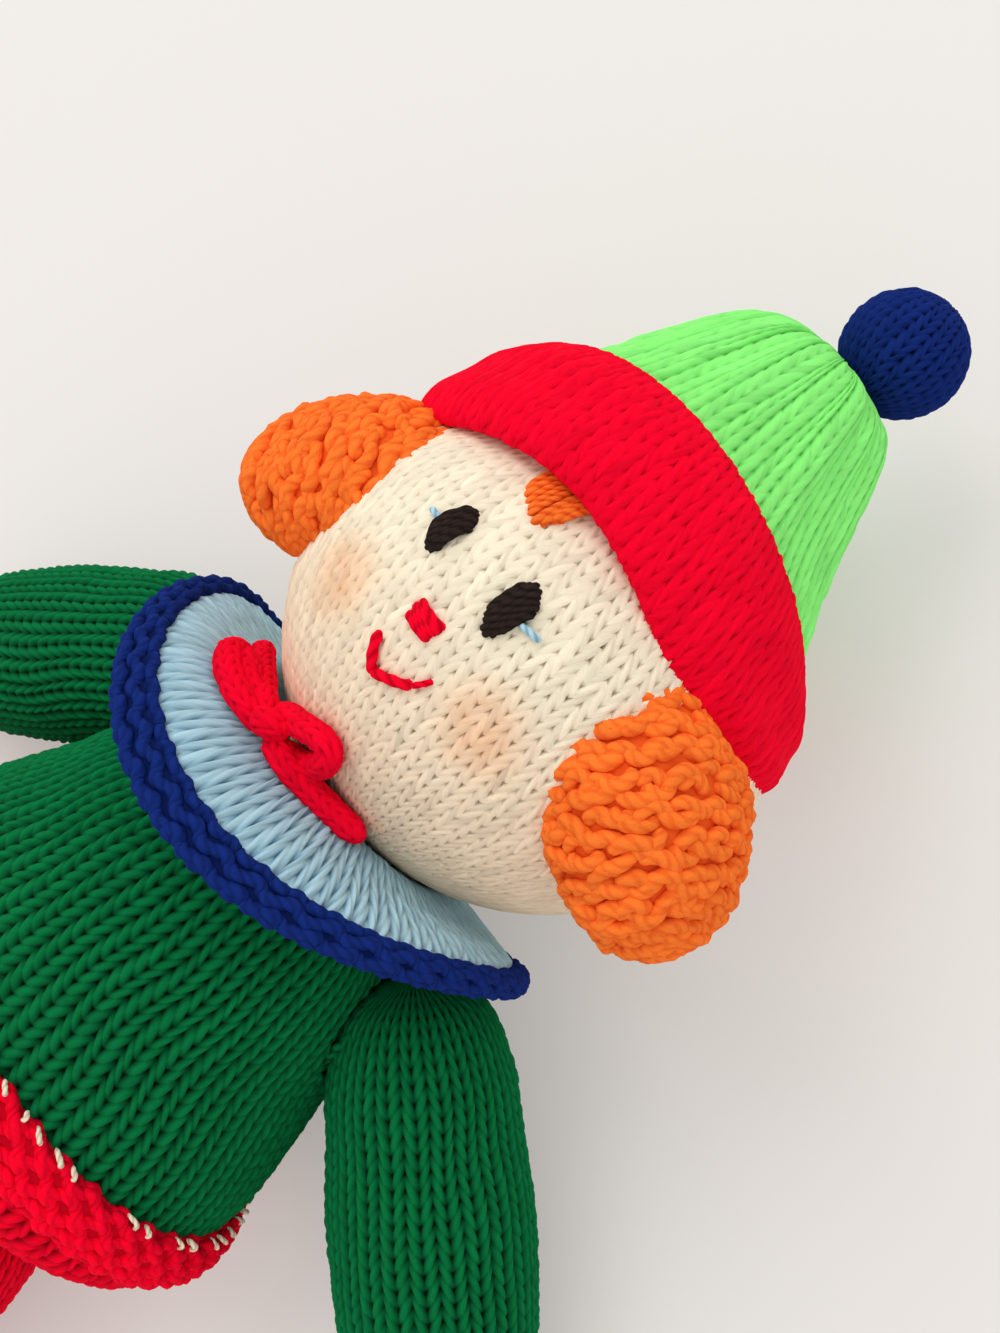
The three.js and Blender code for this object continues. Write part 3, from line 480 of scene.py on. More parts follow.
def yarn_material(name, top, deep, pink=None, streak=0.6):
    """Spun yarn: painted shade between the stitches, streaked by its fibres and a little uneven from leg to
    leg.
    """
    mat = bpy.data.materials.new(name)
    mat.use_nodes = True
    tree = mat.node_tree
    tree.nodes.clear()
    link = tree.links.new
    out = add_node(tree, "ShaderNodeOutputMaterial")
    shader = add_node(tree, "ShaderNodeBsdfPrincipled", {**YARN_SHADER, "Sheen Tint": top})
    link(shader.outputs[0], out.inputs[0])
    depth = add_node(tree, "ShaderNodeAttribute", attribute_name="depth")
    ramp = add_node(tree, "ShaderNodeMapRange", YARN_DEPTHS)
    link(depth.outputs["Fac"], ramp.inputs["Value"])
    uv = add_node(tree, "ShaderNodeUVMap", uv_map="yarn")
    stretch = add_node(tree, "ShaderNodeMapping", FIBRE_PLACE)
    link(uv.outputs[0], stretch.inputs["Vector"])
    fibres = add_node(tree, "ShaderNodeTexNoise", FIBRES)
    link(stretch.outputs[0], fibres.inputs["Vector"])
    # Colour: from the shaded depth to the lit top of the yarn, then the fibres and the leg's own tone.
    mix = add_node(tree, "ShaderNodeMix", data_type="RGBA")
    mix.inputs[MIX_A].default_value = deep
    mix.inputs[MIX_B].default_value = top
    link(ramp.outputs[0], mix.inputs[0])
    last = mix.outputs[MIX_OUT]
    if pink is not None:
        # The rosy tint: blush on the cheeks, and painted warm shade towards the chin.
        rosy = add_node(tree, "ShaderNodeAttribute", attribute_name="blush_and_shade")
        where = add_node(tree, "ShaderNodeTexCoord")
        spots = add_node(tree, "ShaderNodeTexNoise", ROSY_SPOTS)
        link(where.outputs["Object"], spots.inputs["Vector"])
        wide = add_node(tree, "ShaderNodeMath", {1: ROSY_SHARE, 2: ROSY_BASE}, operation="MULTIPLY_ADD")
        link(spots.outputs["Fac"], wide.inputs[0])
        amount = add_node(tree, "ShaderNodeMath", operation="MULTIPLY", use_clamp=True)
        link(rosy.outputs["Fac"], amount.inputs[0])
        link(wide.outputs[0], amount.inputs[1])
        tint = add_node(tree, "ShaderNodeMix", data_type="RGBA", blend_type="MULTIPLY")
        tint.inputs[MIX_B].default_value = pink
        link(amount.outputs[0], tint.inputs[0])
        link(last, tint.inputs[MIX_A])
        last = tint.outputs[MIX_OUT]
    uneven = add_node(tree, "ShaderNodeAttribute", attribute_name="vary")
    shade = add_node(tree, "ShaderNodeMath", {1: LEG_TONE, 2: 1.0 - streak * 0.25}, operation="MULTIPLY_ADD")
    link(uneven.outputs["Fac"], shade.inputs[0])
    light = add_node(tree, "ShaderNodeMath", {1: streak * 0.5}, operation="MULTIPLY_ADD")
    link(fibres.outputs["Fac"], light.inputs[0])
    link(shade.outputs[0], light.inputs[2])
    value = add_node(tree, "ShaderNodeHueSaturation")
    link(light.outputs[0], value.inputs["Value"])
    link(last, value.inputs["Color"])
    link(value.outputs[0], shader.inputs["Base Color"])
    bump = add_node(tree, "ShaderNodeBump", FIBRE_BUMP)
    link(fibres.outputs["Fac"], bump.inputs["Height"])
    link(bump.outputs[0], shader.inputs["Normal"])
    return mat


# Each yarn's second colour is painted shade, given to its valleys, pits and undersides by the depth
# attribute.
CREAM = yarn_material("cream_yarn", linear(255, 242, 214), linear(190, 156, 118), pink=linear(250, 196, 164))
RED = yarn_material("red_yarn", linear(255, 2, 44), linear(150, 0, 16))
LIME = yarn_material("lime_yarn", linear(148, 255, 130), linear(60, 168, 58))
NAVY = yarn_material("navy_yarn", linear(18, 42, 116), linear(5, 14, 44))
ORANGE = yarn_material("orange_yarn", linear(255, 124, 46), linear(214, 44, 8))
GREEN = yarn_material("green_yarn", linear(5, 116, 62), linear(0, 28, 11))
BLUE = yarn_material("pale_blue_yarn", linear(182, 222, 236), linear(84, 128, 158))
DARK = yarn_material("dark_yarn", linear(46, 36, 32), linear(12, 9, 8), streak=0.9)


def place(obj, body, *nodes, fill=None):
    """Ties a piece to its body and to the nodes it stands for, which it hides. fill is not used."""
    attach(obj, body)
    if nodes:
        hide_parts(*nodes)
    return obj


# Camera
def standing(right, up, back, spot):
    """The matrix of something with these three directions, at a spot."""
    return Matrix([[right[i], up[i], back[i], spot[i]] for i in range(3)] + [[0, 0, 0, 1]])


eye = bpy.data.cameras.new("camera")
eye.sensor_fit = "HORIZONTAL"
eye.sensor_width = 36.0
eye.lens = 47.48
eye.clip_start = 0.01
camera = bpy.data.objects.new("camera", eye)
bpy.context.scene.collection.objects.link(camera)
camera.matrix_world = standing((0.5331, 0.8021, -0.2690), (-0.7877, 0.5869, 0.1890), (0.3101, 0.1110, 0.9440),
                               np.array([57.62, 84.3, 220.9]) * MM)
bpy.context.scene.camera = camera


# Forms
ROW, LIMB_ROW, FINE_ROW = 2.3, 2.35, 2.2                 # heights of a row of stitches


def revolved(points, move):
    """A surface of revolution about +Y through (radius, height) points, then moved, and its length."""
    line, long = spline(points)

    def surf(t, s):
        r, y = along(line, s)
        return move(round_y(r, y, t))
    return surf, long


def ring_loop(section, move):
    """A ring: a closed section (radius, height) carried round +Y, then moved, and the section's length."""
    line, long = spline(section, closed=True)

    def surf(t, s):
        r, y = along(line, s % 1.0)
        return move(round_y(r, y, t))
    return surf, long


def draw_in(p):
    share = 1 - HAT_SQUEEZE * smooth(p[..., 1], HAT_FROM, HAT_FULL)
    p[..., 0] *= share
    p[..., 2] *= share
    return p


HEAD_LOW, HEAD_HIGH = math.radians(9), math.radians(128)


def head_surf(t, s):
    f = HEAD_LOW + (HEAD_HIGH - HEAD_LOW) * s
    return settle(in_head(draw_in(round_y(np.sin(f), -np.cos(f), t) * HEAD_HALF)))


ARMS = {"right": (-1, math.radians(41)), "left": (1, math.radians(56))}
DROP, ROOT_BACK, ROOT_AHEAD, HOLLOW_R = math.radians(16), -4.0, 30.0, 14.2


def arm_way(side, spread):
    return np.array([side * math.sin(spread), -math.cos(spread), 0]) * math.cos(DROP) - [0, 0, math.sin(DROP)]


# How each knitted fabric looks: the width of its columns, and how deep and wide its valleys are
JUMPER = {"gauge": 3.7, "slant": 1.3, "row": 0.38, "edge": 0.95, "middle": 0.9, "hole": 0.3,
          "narrow": 0.28}
FACE = {"gauge": 3.3, "slant": 1.4, "row": 0.05, "edge": 0.03, "middle": 0.03, "hole": 0.85}
CUFF = {"gauge": 3.3, "slant": 1.5, "row": 0.06, "edge": 0.1, "middle": 0.05, "hole": 0.55,
        "pit": (0.15, 0.26)}
CROWN = {"gauge": 3.8, "slant": 1.6, "row": 0.06, "edge": 0.6, "middle": 0.42, "hole": 0.35, "narrow": 0.24,
         "merge": 0.7, "gather": 0.2, "along_leg": 6}
RIB = {"gauge": 3.0, "slant": 1.9, "row": 0.3, "edge": 0.7, "middle": 0.6, "hole": 0.3, "narrow": 0.26,
       "puff": 0.9, "along_leg": 6}
BALL = {"gauge": 3.0, "row": 0.25, "edge": 0.5, "middle": 0.35, "puff": 0.75}
NARROW = {"gauge": 2.4, "slant": 1.2, "row": 0.3, "edge": 0.25, "middle": 0.2, "hole": 0.3, "puff": 0.6,
          "sway": 0.05}

CHEEKS, CHEEK_R, CHEEK_GLOW = ((-14.3, -12.0), (13.2, -10.6)), 6.4, 0.5
# The lower face is tinted warm as painted shade, fading out between these two heights.
CHIN_LOW, CHIN_HIGH, CHIN_WARM_SHADE = -30.0, 2.0, 0.3


def cheeks_and_chin_shade(p):
    """How rosy each point of the face is: a round blush on each cheek, and a faint painted warm shade towards
    the chin.
    """
    q = (p - HEAD) @ TILT
    glow = CHIN_WARM_SHADE * (1 - smooth(q[:, 1], CHIN_LOW, CHIN_HIGH))
    for x, y in CHEEKS:
        far = np.hypot(q[:, 0] - x, q[:, 1] - y)
        glow = glow + CHEEK_GLOW * (q[:, 2] > 0) * (1 - smooth(far, CHEEK_R * 0.3, CHEEK_R * 1.3))
    return glow


head = stockinette("head", head_surf, CREAM, cols=72, rows=36, blush_and_shade=cheeks_and_chin_shade, seed=3, **FACE)
place(head, "head", "head_cover", "head_stuffing", fill=0.9)


def on_torso(p):
    """The body spreads sideways below the arms, and each arm presses a hollow into it."""
    low = 1 - smooth(p[..., 1], SPREAD_FULL, SPREAD_TOP)
    p[..., 0] *= 1 + WAIST_SPREAD * low * smooth(p[..., 1], SPREAD_END, SPREAD_FADE)
    p = p + [0, 0, TORSO_Z]
    for side, spread in ARMS.values():
        way = arm_way(side, spread)
        root = SHOULDER * [side, 1, 1]
        far = np.clip((p - root) @ way, ROOT_BACK, ROOT_AHEAD)
        p = pressed_out(p, root + far[..., None] * way, HOLLOW_R)
    return settle(p)


torso_points = [[29.5, -26], [33, 0], [26.5, 21], [14, 30.5], [2, 33]]
surf, long = revolved(torso_points, on_torso)
torso = stockinette("jumper", surf, GREEN, cols=48, rows=int(long / ROW), seed=5, **JUMPER)
place(torso, "torso", "torso_cover", "body_stuffing", fill=0.85)

seat_points = [[29.5, -26.4], [31, -36], [22.3, -46], [2, -52]]
surf, long = revolved(seat_points, on_torso)
seat = stockinette("trousers_seat", surf, RED, cols=48, rows=int(long / ROW), seed=7, **JUMPER)
place(seat, "torso", "seat_cover", fill=0.85)


def limb_frame(joint, way):
    turned = turn_to(np.array(way))
    return lambda p: settle(p @ turned.T + joint)


BAND_R, BAND_HALF, BAND_LOW, BAND_HIGH, BAND_BEND = 31.0, 1.3, -29.6, -20.8, 2.0
outer, inner = BAND_R + BAND_HALF, BAND_R - BAND_HALF
low_bend, high_bend = BAND_LOW + BAND_BEND, BAND_HIGH - BAND_BEND
band = [[BAND_R, BAND_LOW], [outer, low_bend], [outer, high_bend], [BAND_R, BAND_HIGH], [inner, high_bend],
        [inner, low_bend]]
surf, long = ring_loop(band, on_torso)
waistband = garter("waistband", surf, RED, rows=9, pitch=5.6, radius=1.05, swing=0.7, arch=0.3, seed=21)
place(waistband, "torso", "waistband")

# Cream stitches that hold the band to the jumper show here and there along its upper edge.
WAIST_STITCHES, WAIST_STITCH_TURN, WAIST_STITCHES_SHOWN = 66, 0.045, 0.7
draw = np.random.default_rng(23)
parts = []
for turn in np.arange(WAIST_STITCHES) / WAIST_STITCHES * TURN:
    a = turn + draw.normal(0, 0.012)
    b = turn + WAIST_STITCH_TURN + draw.normal(0, 0.012)
    line = [round_y(BAND_R, BAND_HIGH + 0.4, a / TURN),
            round_y(outer, BAND_HIGH + 0.6 + draw.normal(0, 0.25), (a + b) / 2 / TURN),
            round_y(BAND_R + 0.4, BAND_HIGH - 0.8, b / TURN)]
    if draw.random() < WAIST_STITCHES_SHOWN:
        parts.append(strand(on_torso(np.array(line)), draw.uniform(0.3, 0.45), taper=0.2))
place(strands("waist_stitches", parts, CREAM), "torso")

# The rings of sewing yarn at the shoulders and the neck overlap themselves a little.
THREAD_R, THREAD_LAP, THREAD_POINTS, THREAD_TAPER = 0.85, 1.01, 40, 0.02
SHOULDER_RING_IN, SHOULDER_RING_R = 10.9, 10.4
NECK_RING = np.array([0.0, 32.45, HEAD[2]])
NECK_RING_R = 11.5


def sewn_ring(name, at, material):
    """A ring of yarn through the points that at gives for each angle."""
    ring = [at(angle) for angle in np.linspace(0, TURN * THREAD_LAP, THREAD_POINTS)]
    return strands(name, [strand(ring, THREAD_R, taper=THREAD_TAPER)], material)


# Arms and legs
sleeve_points = [[1.5, -17.4], [9.8, -13.5], [13.6, -4], [14.4, 5], [15.4, 20.2], [14.3, 39.2], [10, 56]]
hand_points = [[9.6, 56.4], [10.6, 64], [7.6, 73], [1, 76]]
leg_points = [[1.5, -13.4], [9.6, -9.6], [13.5, 0], [15.2, 20.5], [14.6, 35.6], [11.5, 54]]
LEG_DROP, LEG_SPLAY, LEG_LONG = math.radians(9), math.radians(5), 54.0
SHOE_ROUND, SHOE_HALF, SHOE_DOWN, SHOE_Z = 13.0, 19.0, 10.0, 18.5
SOLE_Y, SOLE_EASE = -10.0, 2.0
SHOE_FROM, SHOE_TURN = math.radians(6), math.radians(168)
for label, (side, spread) in ARMS.items():
    flip = np.array([side, 1, 1])
    move = limb_frame(SHOULDER * flip, arm_way(side, spread))
    surf, long = revolved(sleeve_points, move)
    sleeve = stockinette(f"sleeve_{label}", surf, GREEN, cols=23, rows=int(long / LIMB_ROW), seed=30 + side,
                         **JUMPER)
    place(sleeve, f"arm_{label}", f"sleeve_{label}", f"arm_stuffing_{label}", fill=0.8)
    surf, long = revolved(hand_points, move)
    hand = stockinette(f"hand_{label}", surf, CREAM, cols=20, rows=int(long / FINE_ROW), gauge=3.2,
                       seed=34 + side)
    place(hand, f"arm_{label}", f"hand_{label}", fill=0.8)

    way = np.array([side * math.sin(LEG_SPLAY), -math.cos(LEG_SPLAY), 0]) * math.cos(LEG_DROP)
    way = way - [0, 0, math.sin(LEG_DROP)]
    move = limb_frame(HIP * flip, way)
    surf, long = revolved(leg_points, move)
    leg = stockinette(f"trouser_leg_{label}", surf, RED, cols=23, rows=int(long / LIMB_ROW), seed=40 + side,
                      **JUMPER)
    place(leg, f"leg_{label}", f"trouser_leg_{label}", f"leg_stuffing_{label}", fill=0.8)

    ankle = HIP * flip + LEG_LONG * way
    heart = np.array([ankle[0], ankle[1] - SHOE_DOWN, SHOE_Z])

    def shoe_surf(t, s, heart=heart):
        f = SHOE_FROM + SHOE_TURN * s
        p = round_y(SHOE_ROUND * np.sin(f), SHOE_HALF * np.cos(f), t)[..., [0, 2, 1]]
        p[..., 1] = soft_max(p[..., 1], SOLE_Y, SOLE_EASE)
        return settle(p + heart)
    shoe = stockinette(f"shoe_{label}", shoe_surf, NAVY, cols=24, rows=20, gauge=3.2, seed=44 + side)
    place(shoe, f"leg_{label}", f"shoe_{label}", fill=0.8)

    root = SHOULDER * flip - [side * SHOULDER_RING_IN, 0, 0]

    def shoulder_ring(angle, root=root):
        return root + SHOULDER_RING_R * np.array([0, math.cos(angle), math.sin(angle)])
    thread = sewn_ring(f"shoulder_thread_{label}", shoulder_ring, GREEN)
    place(thread, f"shoulder_{label}", f"shoulder_thread_{label}")


def neck_ring(angle):
    return round_y(NECK_RING_R, 0.0, angle / TURN) + NECK_RING


place(sewn_ring("neck_thread", neck_ring, CREAM), "neck", "neck_thread")

# The hat
CUFF_LOW, CUFF_HIGH, CUFF_LOW_R, CUFF_HIGH_R, CUFF_THICK, CUFF_BEND = 7.5, 22.0, 38.4, 33.4, 6.0, 3.6
BRIM_LIFT, TOP_LIFT = 8.7, 11.5


def cuff_at(y, inward=0.0):
    """A point of the cuff's section: its cone at a height, or that far inside it."""
    return [CUFF_LOW_R - (CUFF_LOW_R - CUFF_HIGH_R) * (y - CUFF_LOW) / (CUFF_HIGH - CUFF_LOW) - inward, y]


def cuff_lift(p):
    """The cuff sits higher in front, its top more than its brim."""
    front = np.maximum(np.cos(np.arctan2(p[..., 0], p[..., 2])), 0)
    high = np.clip((p[..., 1] - CUFF_LOW) / (CUFF_HIGH - CUFF_LOW), 0, 1)
    p[..., 1] += BRIM_LIFT * front**4 * (1 - high) + TOP_LIFT * front**1.3 * high
    p[..., 0] += CUFF_X
    return settle(in_head(p))


bends = [CUFF_LOW + CUFF_BEND, (CUFF_LOW + CUFF_HIGH) / 2, CUFF_HIGH - CUFF_BEND]
cuff_section = ([[CUFF_LOW_R - CUFF_THICK / 2, CUFF_LOW]] + [cuff_at(y) for y in bends]
                + [[CUFF_HIGH_R - CUFF_THICK / 2, CUFF_HIGH]] + [cuff_at(y, CUFF_THICK) for y in bends[::-1]])
surf, long = ring_loop(cuff_section, cuff_lift)
cuff = stockinette("hat_cuff", surf, RED, cols=72, rows=int(long / FINE_ROW), loop=True, seed=51, **CUFF)
place(cuff, "head", "hat_cuff")

CROWN_END, CROWN_SAG, CROWN_LEAN = 60.0, 6.0, -1.5
POMPOM, POMPOM_R, POMPOM_ROOM = np.array([-0.1, 67.7, -8.6]), 9.4, 10.3
POMPOM_SWUNG = np.array([0.0, -1.3, -2.0])
POMPOM_FROM, POMPOM_TURN = math.radians(5), math.radians(170)
PLEATS = ((0.6, 9, 0.7), (0.35, 16, 2.0))                # height, number and start of the crown's folds
CREASE_DEEP, CREASE_AT, CREASE_WIDE = 1.1, 0.95, 0.22
PLEAT_FROM, PLEAT_FULL, PLEAT_FADE, PLEAT_HIGH, PLEAT_INNER = 24.0, 46.0, 56.0, 0.9, 6.0


def droop(p):
    """The crown sags and leans, and the pompom presses its end in, swung back too."""
    past = np.maximum(p[..., 1] - CUFF_HIGH, 0) / (CROWN_END - CUFF_HIGH)
    p[..., 2] -= CROWN_SAG * past**2
    p[..., 0] += CROWN_X + CROWN_LEAN * past
    for spot in (POMPOM + POMPOM_SWUNG, POMPOM):
        p = pressed_out(p, spot, POMPOM_ROOM)
    return settle(in_head(p))


def pleat(p):
    """Folds where the crown is drawn together, with one deeper crease."""
    turn = np.arctan2(p[..., 0], p[..., 2])
    near = smooth(p[..., 1], PLEAT_FROM, PLEAT_FULL) * (1 - smooth(p[..., 1], PLEAT_FADE, CROWN_END))
    fold = sum(high * np.sin(count * turn + start) for high, count, start in PLEATS)
    fold = fold - CREASE_DEEP * hump(turn - CREASE_AT, CREASE_WIDE)
    share = 1 + near * fold * PLEAT_HIGH / np.maximum(np.hypot(p[..., 0], p[..., 2]), PLEAT_INNER)
    p[..., 0] *= share
    p[..., 2] *= share
    return droop(p)


crown_points = [[31, 19], [28.8, 25], [22.8, 36], [19.2, 44], [12.6, 56], [1.2, 60]]
surf, long = revolved(crown_points, pleat)
crown = stockinette("hat_crown", surf, LIME, cols=40, rows=int(long / LIMB_ROW), seed=57, **CROWN)
place(crown, "head", "hat_crown", "hat_stuffing", fill=0.6)


def pompom_surf(t, s):
    f = POMPOM_FROM + POMPOM_TURN * s
    return in_head(round_y(np.sin(f), -np.cos(f), t) * POMPOM_R + POMPOM)


pompom = stockinette("pompom", pompom_surf, NAVY, cols=18, rows=15, seed=61, **BALL)
place(pompom, "pompom", "pompom_cover", "pompom_stuffing", fill=0.9)

# Hair
HAIR, HAIR_HALF = np.array([30.0, -2.6, 17.9]), np.array([18.6, 11.4, 14.5])
HAIR_LEAN, HAIR_YAW, HAIR_PITCH = math.radians(-39), math.radians(14), math.radians(25)
HAIR_POLE = np.array([0.79, -0.59, -0.1])                # where the rows of loops start
HAIR_FROM, HAIR_TURN = 0.1, 2.5
HAIR_BRIM_GAP, HAIR_BRIM_EASE, HAIR_SUNK = 1.2, 1.5, 0.92
HAIR_ROWS, HAIR_LOOP = np.linspace(0.02, 0.98, 24), 3.7
for side, label in ((-1, "right"), (1, "left")):
    flip = np.array([side, 1, 1])
    turned = turn_to(HAIR_POLE * flip)
    hang = np.array(Matrix.Rotation(side * HAIR_LEAN, 3, "Z") @ Matrix.Rotation(side * HAIR_YAW, 3, "Y")
                    @ Matrix.Rotation(HAIR_PITCH, 3, "X"))

    def hair_surf(t, s, flip=flip, turned=turned, hang=hang):
        f = HAIR_FROM + HAIR_TURN * s
        p = round_y(np.sin(f), np.cos(f), t) @ turned.T
        p = (p @ hang * HAIR_HALF) @ hang.T + HAIR * flip
        front = np.maximum(np.cos(np.arctan2(p[..., 0], p[..., 2])), 0)
        brim = CUFF_LOW + BRIM_LIFT * front**4 + HAIR_BRIM_GAP
        p[..., 1] = -soft_max(-p[..., 1], -brim, HAIR_BRIM_EASE)
        deep = np.linalg.norm(p / HEAD_HALF, axis=-1, keepdims=True)
        return in_head(p * np.maximum(1, HAIR_SUNK / np.maximum(deep, TINY)))
    puff = arcs(f"hair_{label}", hair_surf, ORANGE, HAIR_ROWS, HAIR_LOOP, seed=70 + side)
    place(puff, "head", f"hair_{label}", f"hair_stuffing_{label}", fill=0.7)

# Collar
COLLAR = np.array([-1.0, 31.2, 38.8])
COLLAR_IN, COLLAR_MIDDLE, COLLAR_OUT, COLLAR_HALF = 14.0, 24.0, 35.3, 1.4
EDGING_WIDE, DRAPE_FROM = 3.4, 17.5
DRAPE_SIDES, DRAPE_LEFT, DRAPE_FRONT, DRAPE_REAR = 2.7, 5.0, -11.5, -12.0
DRAPE_SKEW, DRAPE_ROLL = 1.2, 2.2
STAND, STAND_R, STAND_WIDE = 2.7, 20.0, 4.5             # the fabric stands up against the chin


def drape(p):
    """The ring hangs down in front and behind, stands off at the left and is raised towards the chin."""
    turn = np.arctan2(p[..., 0], p[..., 2])
    far = np.hypot(p[..., 0], p[..., 2])
    out = np.maximum(far - DRAPE_FROM, 0) / (COLLAR_OUT + EDGING_WIDE - DRAPE_FROM)
    front, rear, left = np.maximum(np.cos(turn), 0), np.maximum(-np.cos(turn), 0), np.maximum(np.sin(turn), 0)
    rim = DRAPE_SIDES + DRAPE_FRONT * front**2 + DRAPE_REAR * rear**2 + DRAPE_SKEW * 2 * np.sin(turn) * front
    p[..., 1] += rim * out**2 + DRAPE_LEFT * left**3 * out + DRAPE_ROLL * np.sin(math.pi * np.minimum(out, 1))
    p[..., 1] += STAND * hump(far - STAND_R, STAND_WIDE)
    return settle(p + COLLAR)


inner, outer, half = COLLAR_IN + 1.2, COLLAR_OUT - COLLAR_HALF, COLLAR_HALF
section = [[COLLAR_IN, 0], [inner, half * 0.8], [COLLAR_MIDDLE, half], [outer, half], [COLLAR_OUT, 0],
           [outer, -half], [COLLAR_MIDDLE, -half], [inner, -half * 0.8]]
surf, long = ring_loop(section, drape)
collar = stockinette("collar", surf, BLUE, cols=62, rows=14, loop=True, seed=81, **RIB)
place(collar, "torso", "collar")
inner, outer = COLLAR_OUT + 0.8, COLLAR_OUT + 2.4
section = [[COLLAR_OUT + 0.3, 0], [inner, 1.6], [outer, 1.7], [COLLAR_OUT + EDGING_WIDE, 0], [outer, -1.7],
           [inner, -1.6]]
surf, long = ring_loop(section, drape)
edging = garter("collar_edging", surf, NAVY, rows=6, pitch=5.2, radius=0.95, swing=0.5, arch=0.22, seed=85)
place(edging, "torso", "collar_edging")


# The bow: one knitted cord with two loops and two tails under its knot
CORD, KNOT, BOW_ROW = 1.8, 1.9, 1.9
CORD_HINT = np.array([0.2, 0.9, 0.3])
BOW = {
    "upper_loop": [(-5.9, 35.9, 63.7), (-8.6, 35.4, 65.2), (-12.4, 35.1, 65.2), (-16.4, 35.3, 63.8),
                   (-19.4, 35.9, 61.4), (-19.0, 36.5, 59.2), (-15.4, 36.5, 61.3), (-11.0, 36.3, 63.0),
                   (-6.5, 36.2, 63.8)],
    "upper_tail": [(-5.4, 36.4, 65.0), (-9.8, 37.0, 62.9), (-15.4, 37.2, 57.6), (-21.9, 37.5, 51.3)],
    "lower_loop": [(-5.3, 35.8, 64.7), (-6.6, 38.2, 62.8), (-2.3, 40.6, 66.7), (1.1, 42.4, 68.7),
                   (3.3, 42.6, 68.8), (3.8, 40.8, 67.0), (1.9, 38.1, 64.0), (-0.7, 36.4, 63.2),
                   (-3.6, 35.9, 65.4)],
    "lower_tail": [(-4.9, 35.8, 64.5), (-0.6, 35.8, 65.2), (2.9, 36.0, 63.7), (6.4, 36.4, 61.5),
                   (12.8, 37.6, 59.0)],
    "knot": [(-7.6, 35.9, 66.0), (-5.2, 37.2, 67.0), (-2.6, 38.2, 65.6)],
}


def cord_surf(path, radius):
    """A round cord along a line, with rounded ends, and its length."""
    line, long = spline(path, 200)
    side, other = carried(line, np.cross(line[1] - line[0], CORD_HINT))

    def surf(t, s):
        spot, x, y = (np.stack(along(m, s), -1) for m in (line, side, other))
        end = np.minimum(s, 1 - s) * long / radius
        r = radius * np.sqrt(np.clip(1 - (1 - np.minimum(end + 0.06, 1)) ** 2, 0, 1))
        return spot + x * (r * np.cos(TURN * t))[..., None] + y * (r * np.sin(TURN * t))[..., None]
    return surf, long


def join(name, objects):
    with bpy.context.temp_override(active_object=objects[0], selected_editable_objects=objects,
                                   selected_objects=objects, object=objects[0]):
        bpy.ops.object.join()
    objects[0].name = objects[0].data.name = name
    return objects[0]


cords = []
for i, (part, path) in enumerate(BOW.items()):
    surf, long = cord_surf(path, KNOT if part == "knot" else CORD)
    rows = max(int(long / BOW_ROW), 4)
    cords.append(stockinette("bow_" + part, surf, RED, cols=4, rows=rows, seed=101 + i, **NARROW))
place(join("knitted_bow", cords), "torso", "bow")


# Embroidery on the face
STITCH_POINTS, STITCH_SINK = 9, 1.1


def on_face(points, lift):
    """Points of the face's plane put on the head, that far above it."""
    p = np.array(points, float)
    share = 1 - HAT_SQUEEZE * smooth(p[:, 1], HAT_FROM, HAT_FULL)
    inside = np.clip(1 - (p[:, 0] / share / HEAD_HALF[0]) ** 2 - (p[:, 1] / HEAD_HALF[1]) ** 2, 0.01, 1)
    q = np.stack([p[:, 0], p[:, 1], share * HEAD_HALF[2] * np.sqrt(inside)], 1)
    return in_head(q + unit(q / HEAD_HALF**2) * np.asarray(lift)[:, None])


def stitch(a, b, radius, lift=0.5, bow=0.35):
    """One stitch on the face from a to b, whose ends go into the fabric."""
    share = np.linspace(0, 1, STITCH_POINTS)
    points = np.outer(1 - share, a) + np.outer(share, b)
    high = lift + bow * np.sin(math.pi * share) - STITCH_SINK * np.abs(2 * share - 1) ** 8
    return strand(on_face(points, high), radius, taper=0.1)


def satin(low, high, count, radius, seed, lift=0.55):
    """Strands side by side, from one outline to the other."""
    draw = np.random.default_rng(seed)
    low_line, _ = spline(low, 100)
    high_line, _ = spline(high, 100)
    parts = []
    for i in range(count):
        share = (i + 0.5) / count
        a = np.array(along(low_line, share)) + draw.normal(0, 0.1, 2)
        b = np.array(along(high_line, share)) + draw.normal(0, 0.1, 2)
        parts.append(stitch(a, b, radius * draw.uniform(0.9, 1.1), lift + draw.normal(0, 0.05), bow=0.45))
    return parts


EYES = {"right": ([(-8.9, 0.8), (-7.9, -0.9), (-6.9, -1.6), (-6.0, 0.0)],
                  [(-8.0, 4.4), (-7.2, 6.2), (-6.0, 5.9), (-5.2, 4.2)]),
        "left": ([(3.9, -0.2), (4.7, -2.0), (5.8, -3.2), (7.2, -0.6)],
                 [(4.6, 4.6), (5.4, 5.8), (6.4, 5.6), (8.0, 3.2)])}
LASHES = {"right": ((-8.6, 2.2), (-10.9, 2.3)), "left": ((7.6, 1.2), (10.6, 1.6))}
NOSE = [(-2.6, -8.0), (-2.3, -5.2)], [(1.2, -8.5), (2.0, -5.7)]
MOUTH = {"right": ((-3.9, -12.2), (-1.2, -16.2), 0.75), "middle": ((-1.4, -16.0), (3.7, -13.5), 0.75),
         "left": ((3.9, -13.2), (5.3, -11.2), 0.45)}
FORELOCK = ([(-6.4, 12.4), (-4.0, 11.0), (-1.2, 9.9), (0.4, 12.8)],
            [(-6.2, 17.6), (-3.5, 18.2), (-0.6, 18.2), (1.8, 17.4)])
for label, outline in EYES.items():
    eye_strands = satin(*outline, count=8, radius=0.52, seed=91)
    place(strands(f"eye_{label}", eye_strands, DARK), "head", f"eye_{label}")
    place(strands(f"lash_{label}", [stitch(*LASHES[label], 0.45)], BLUE), "head", f"lash_{label}")
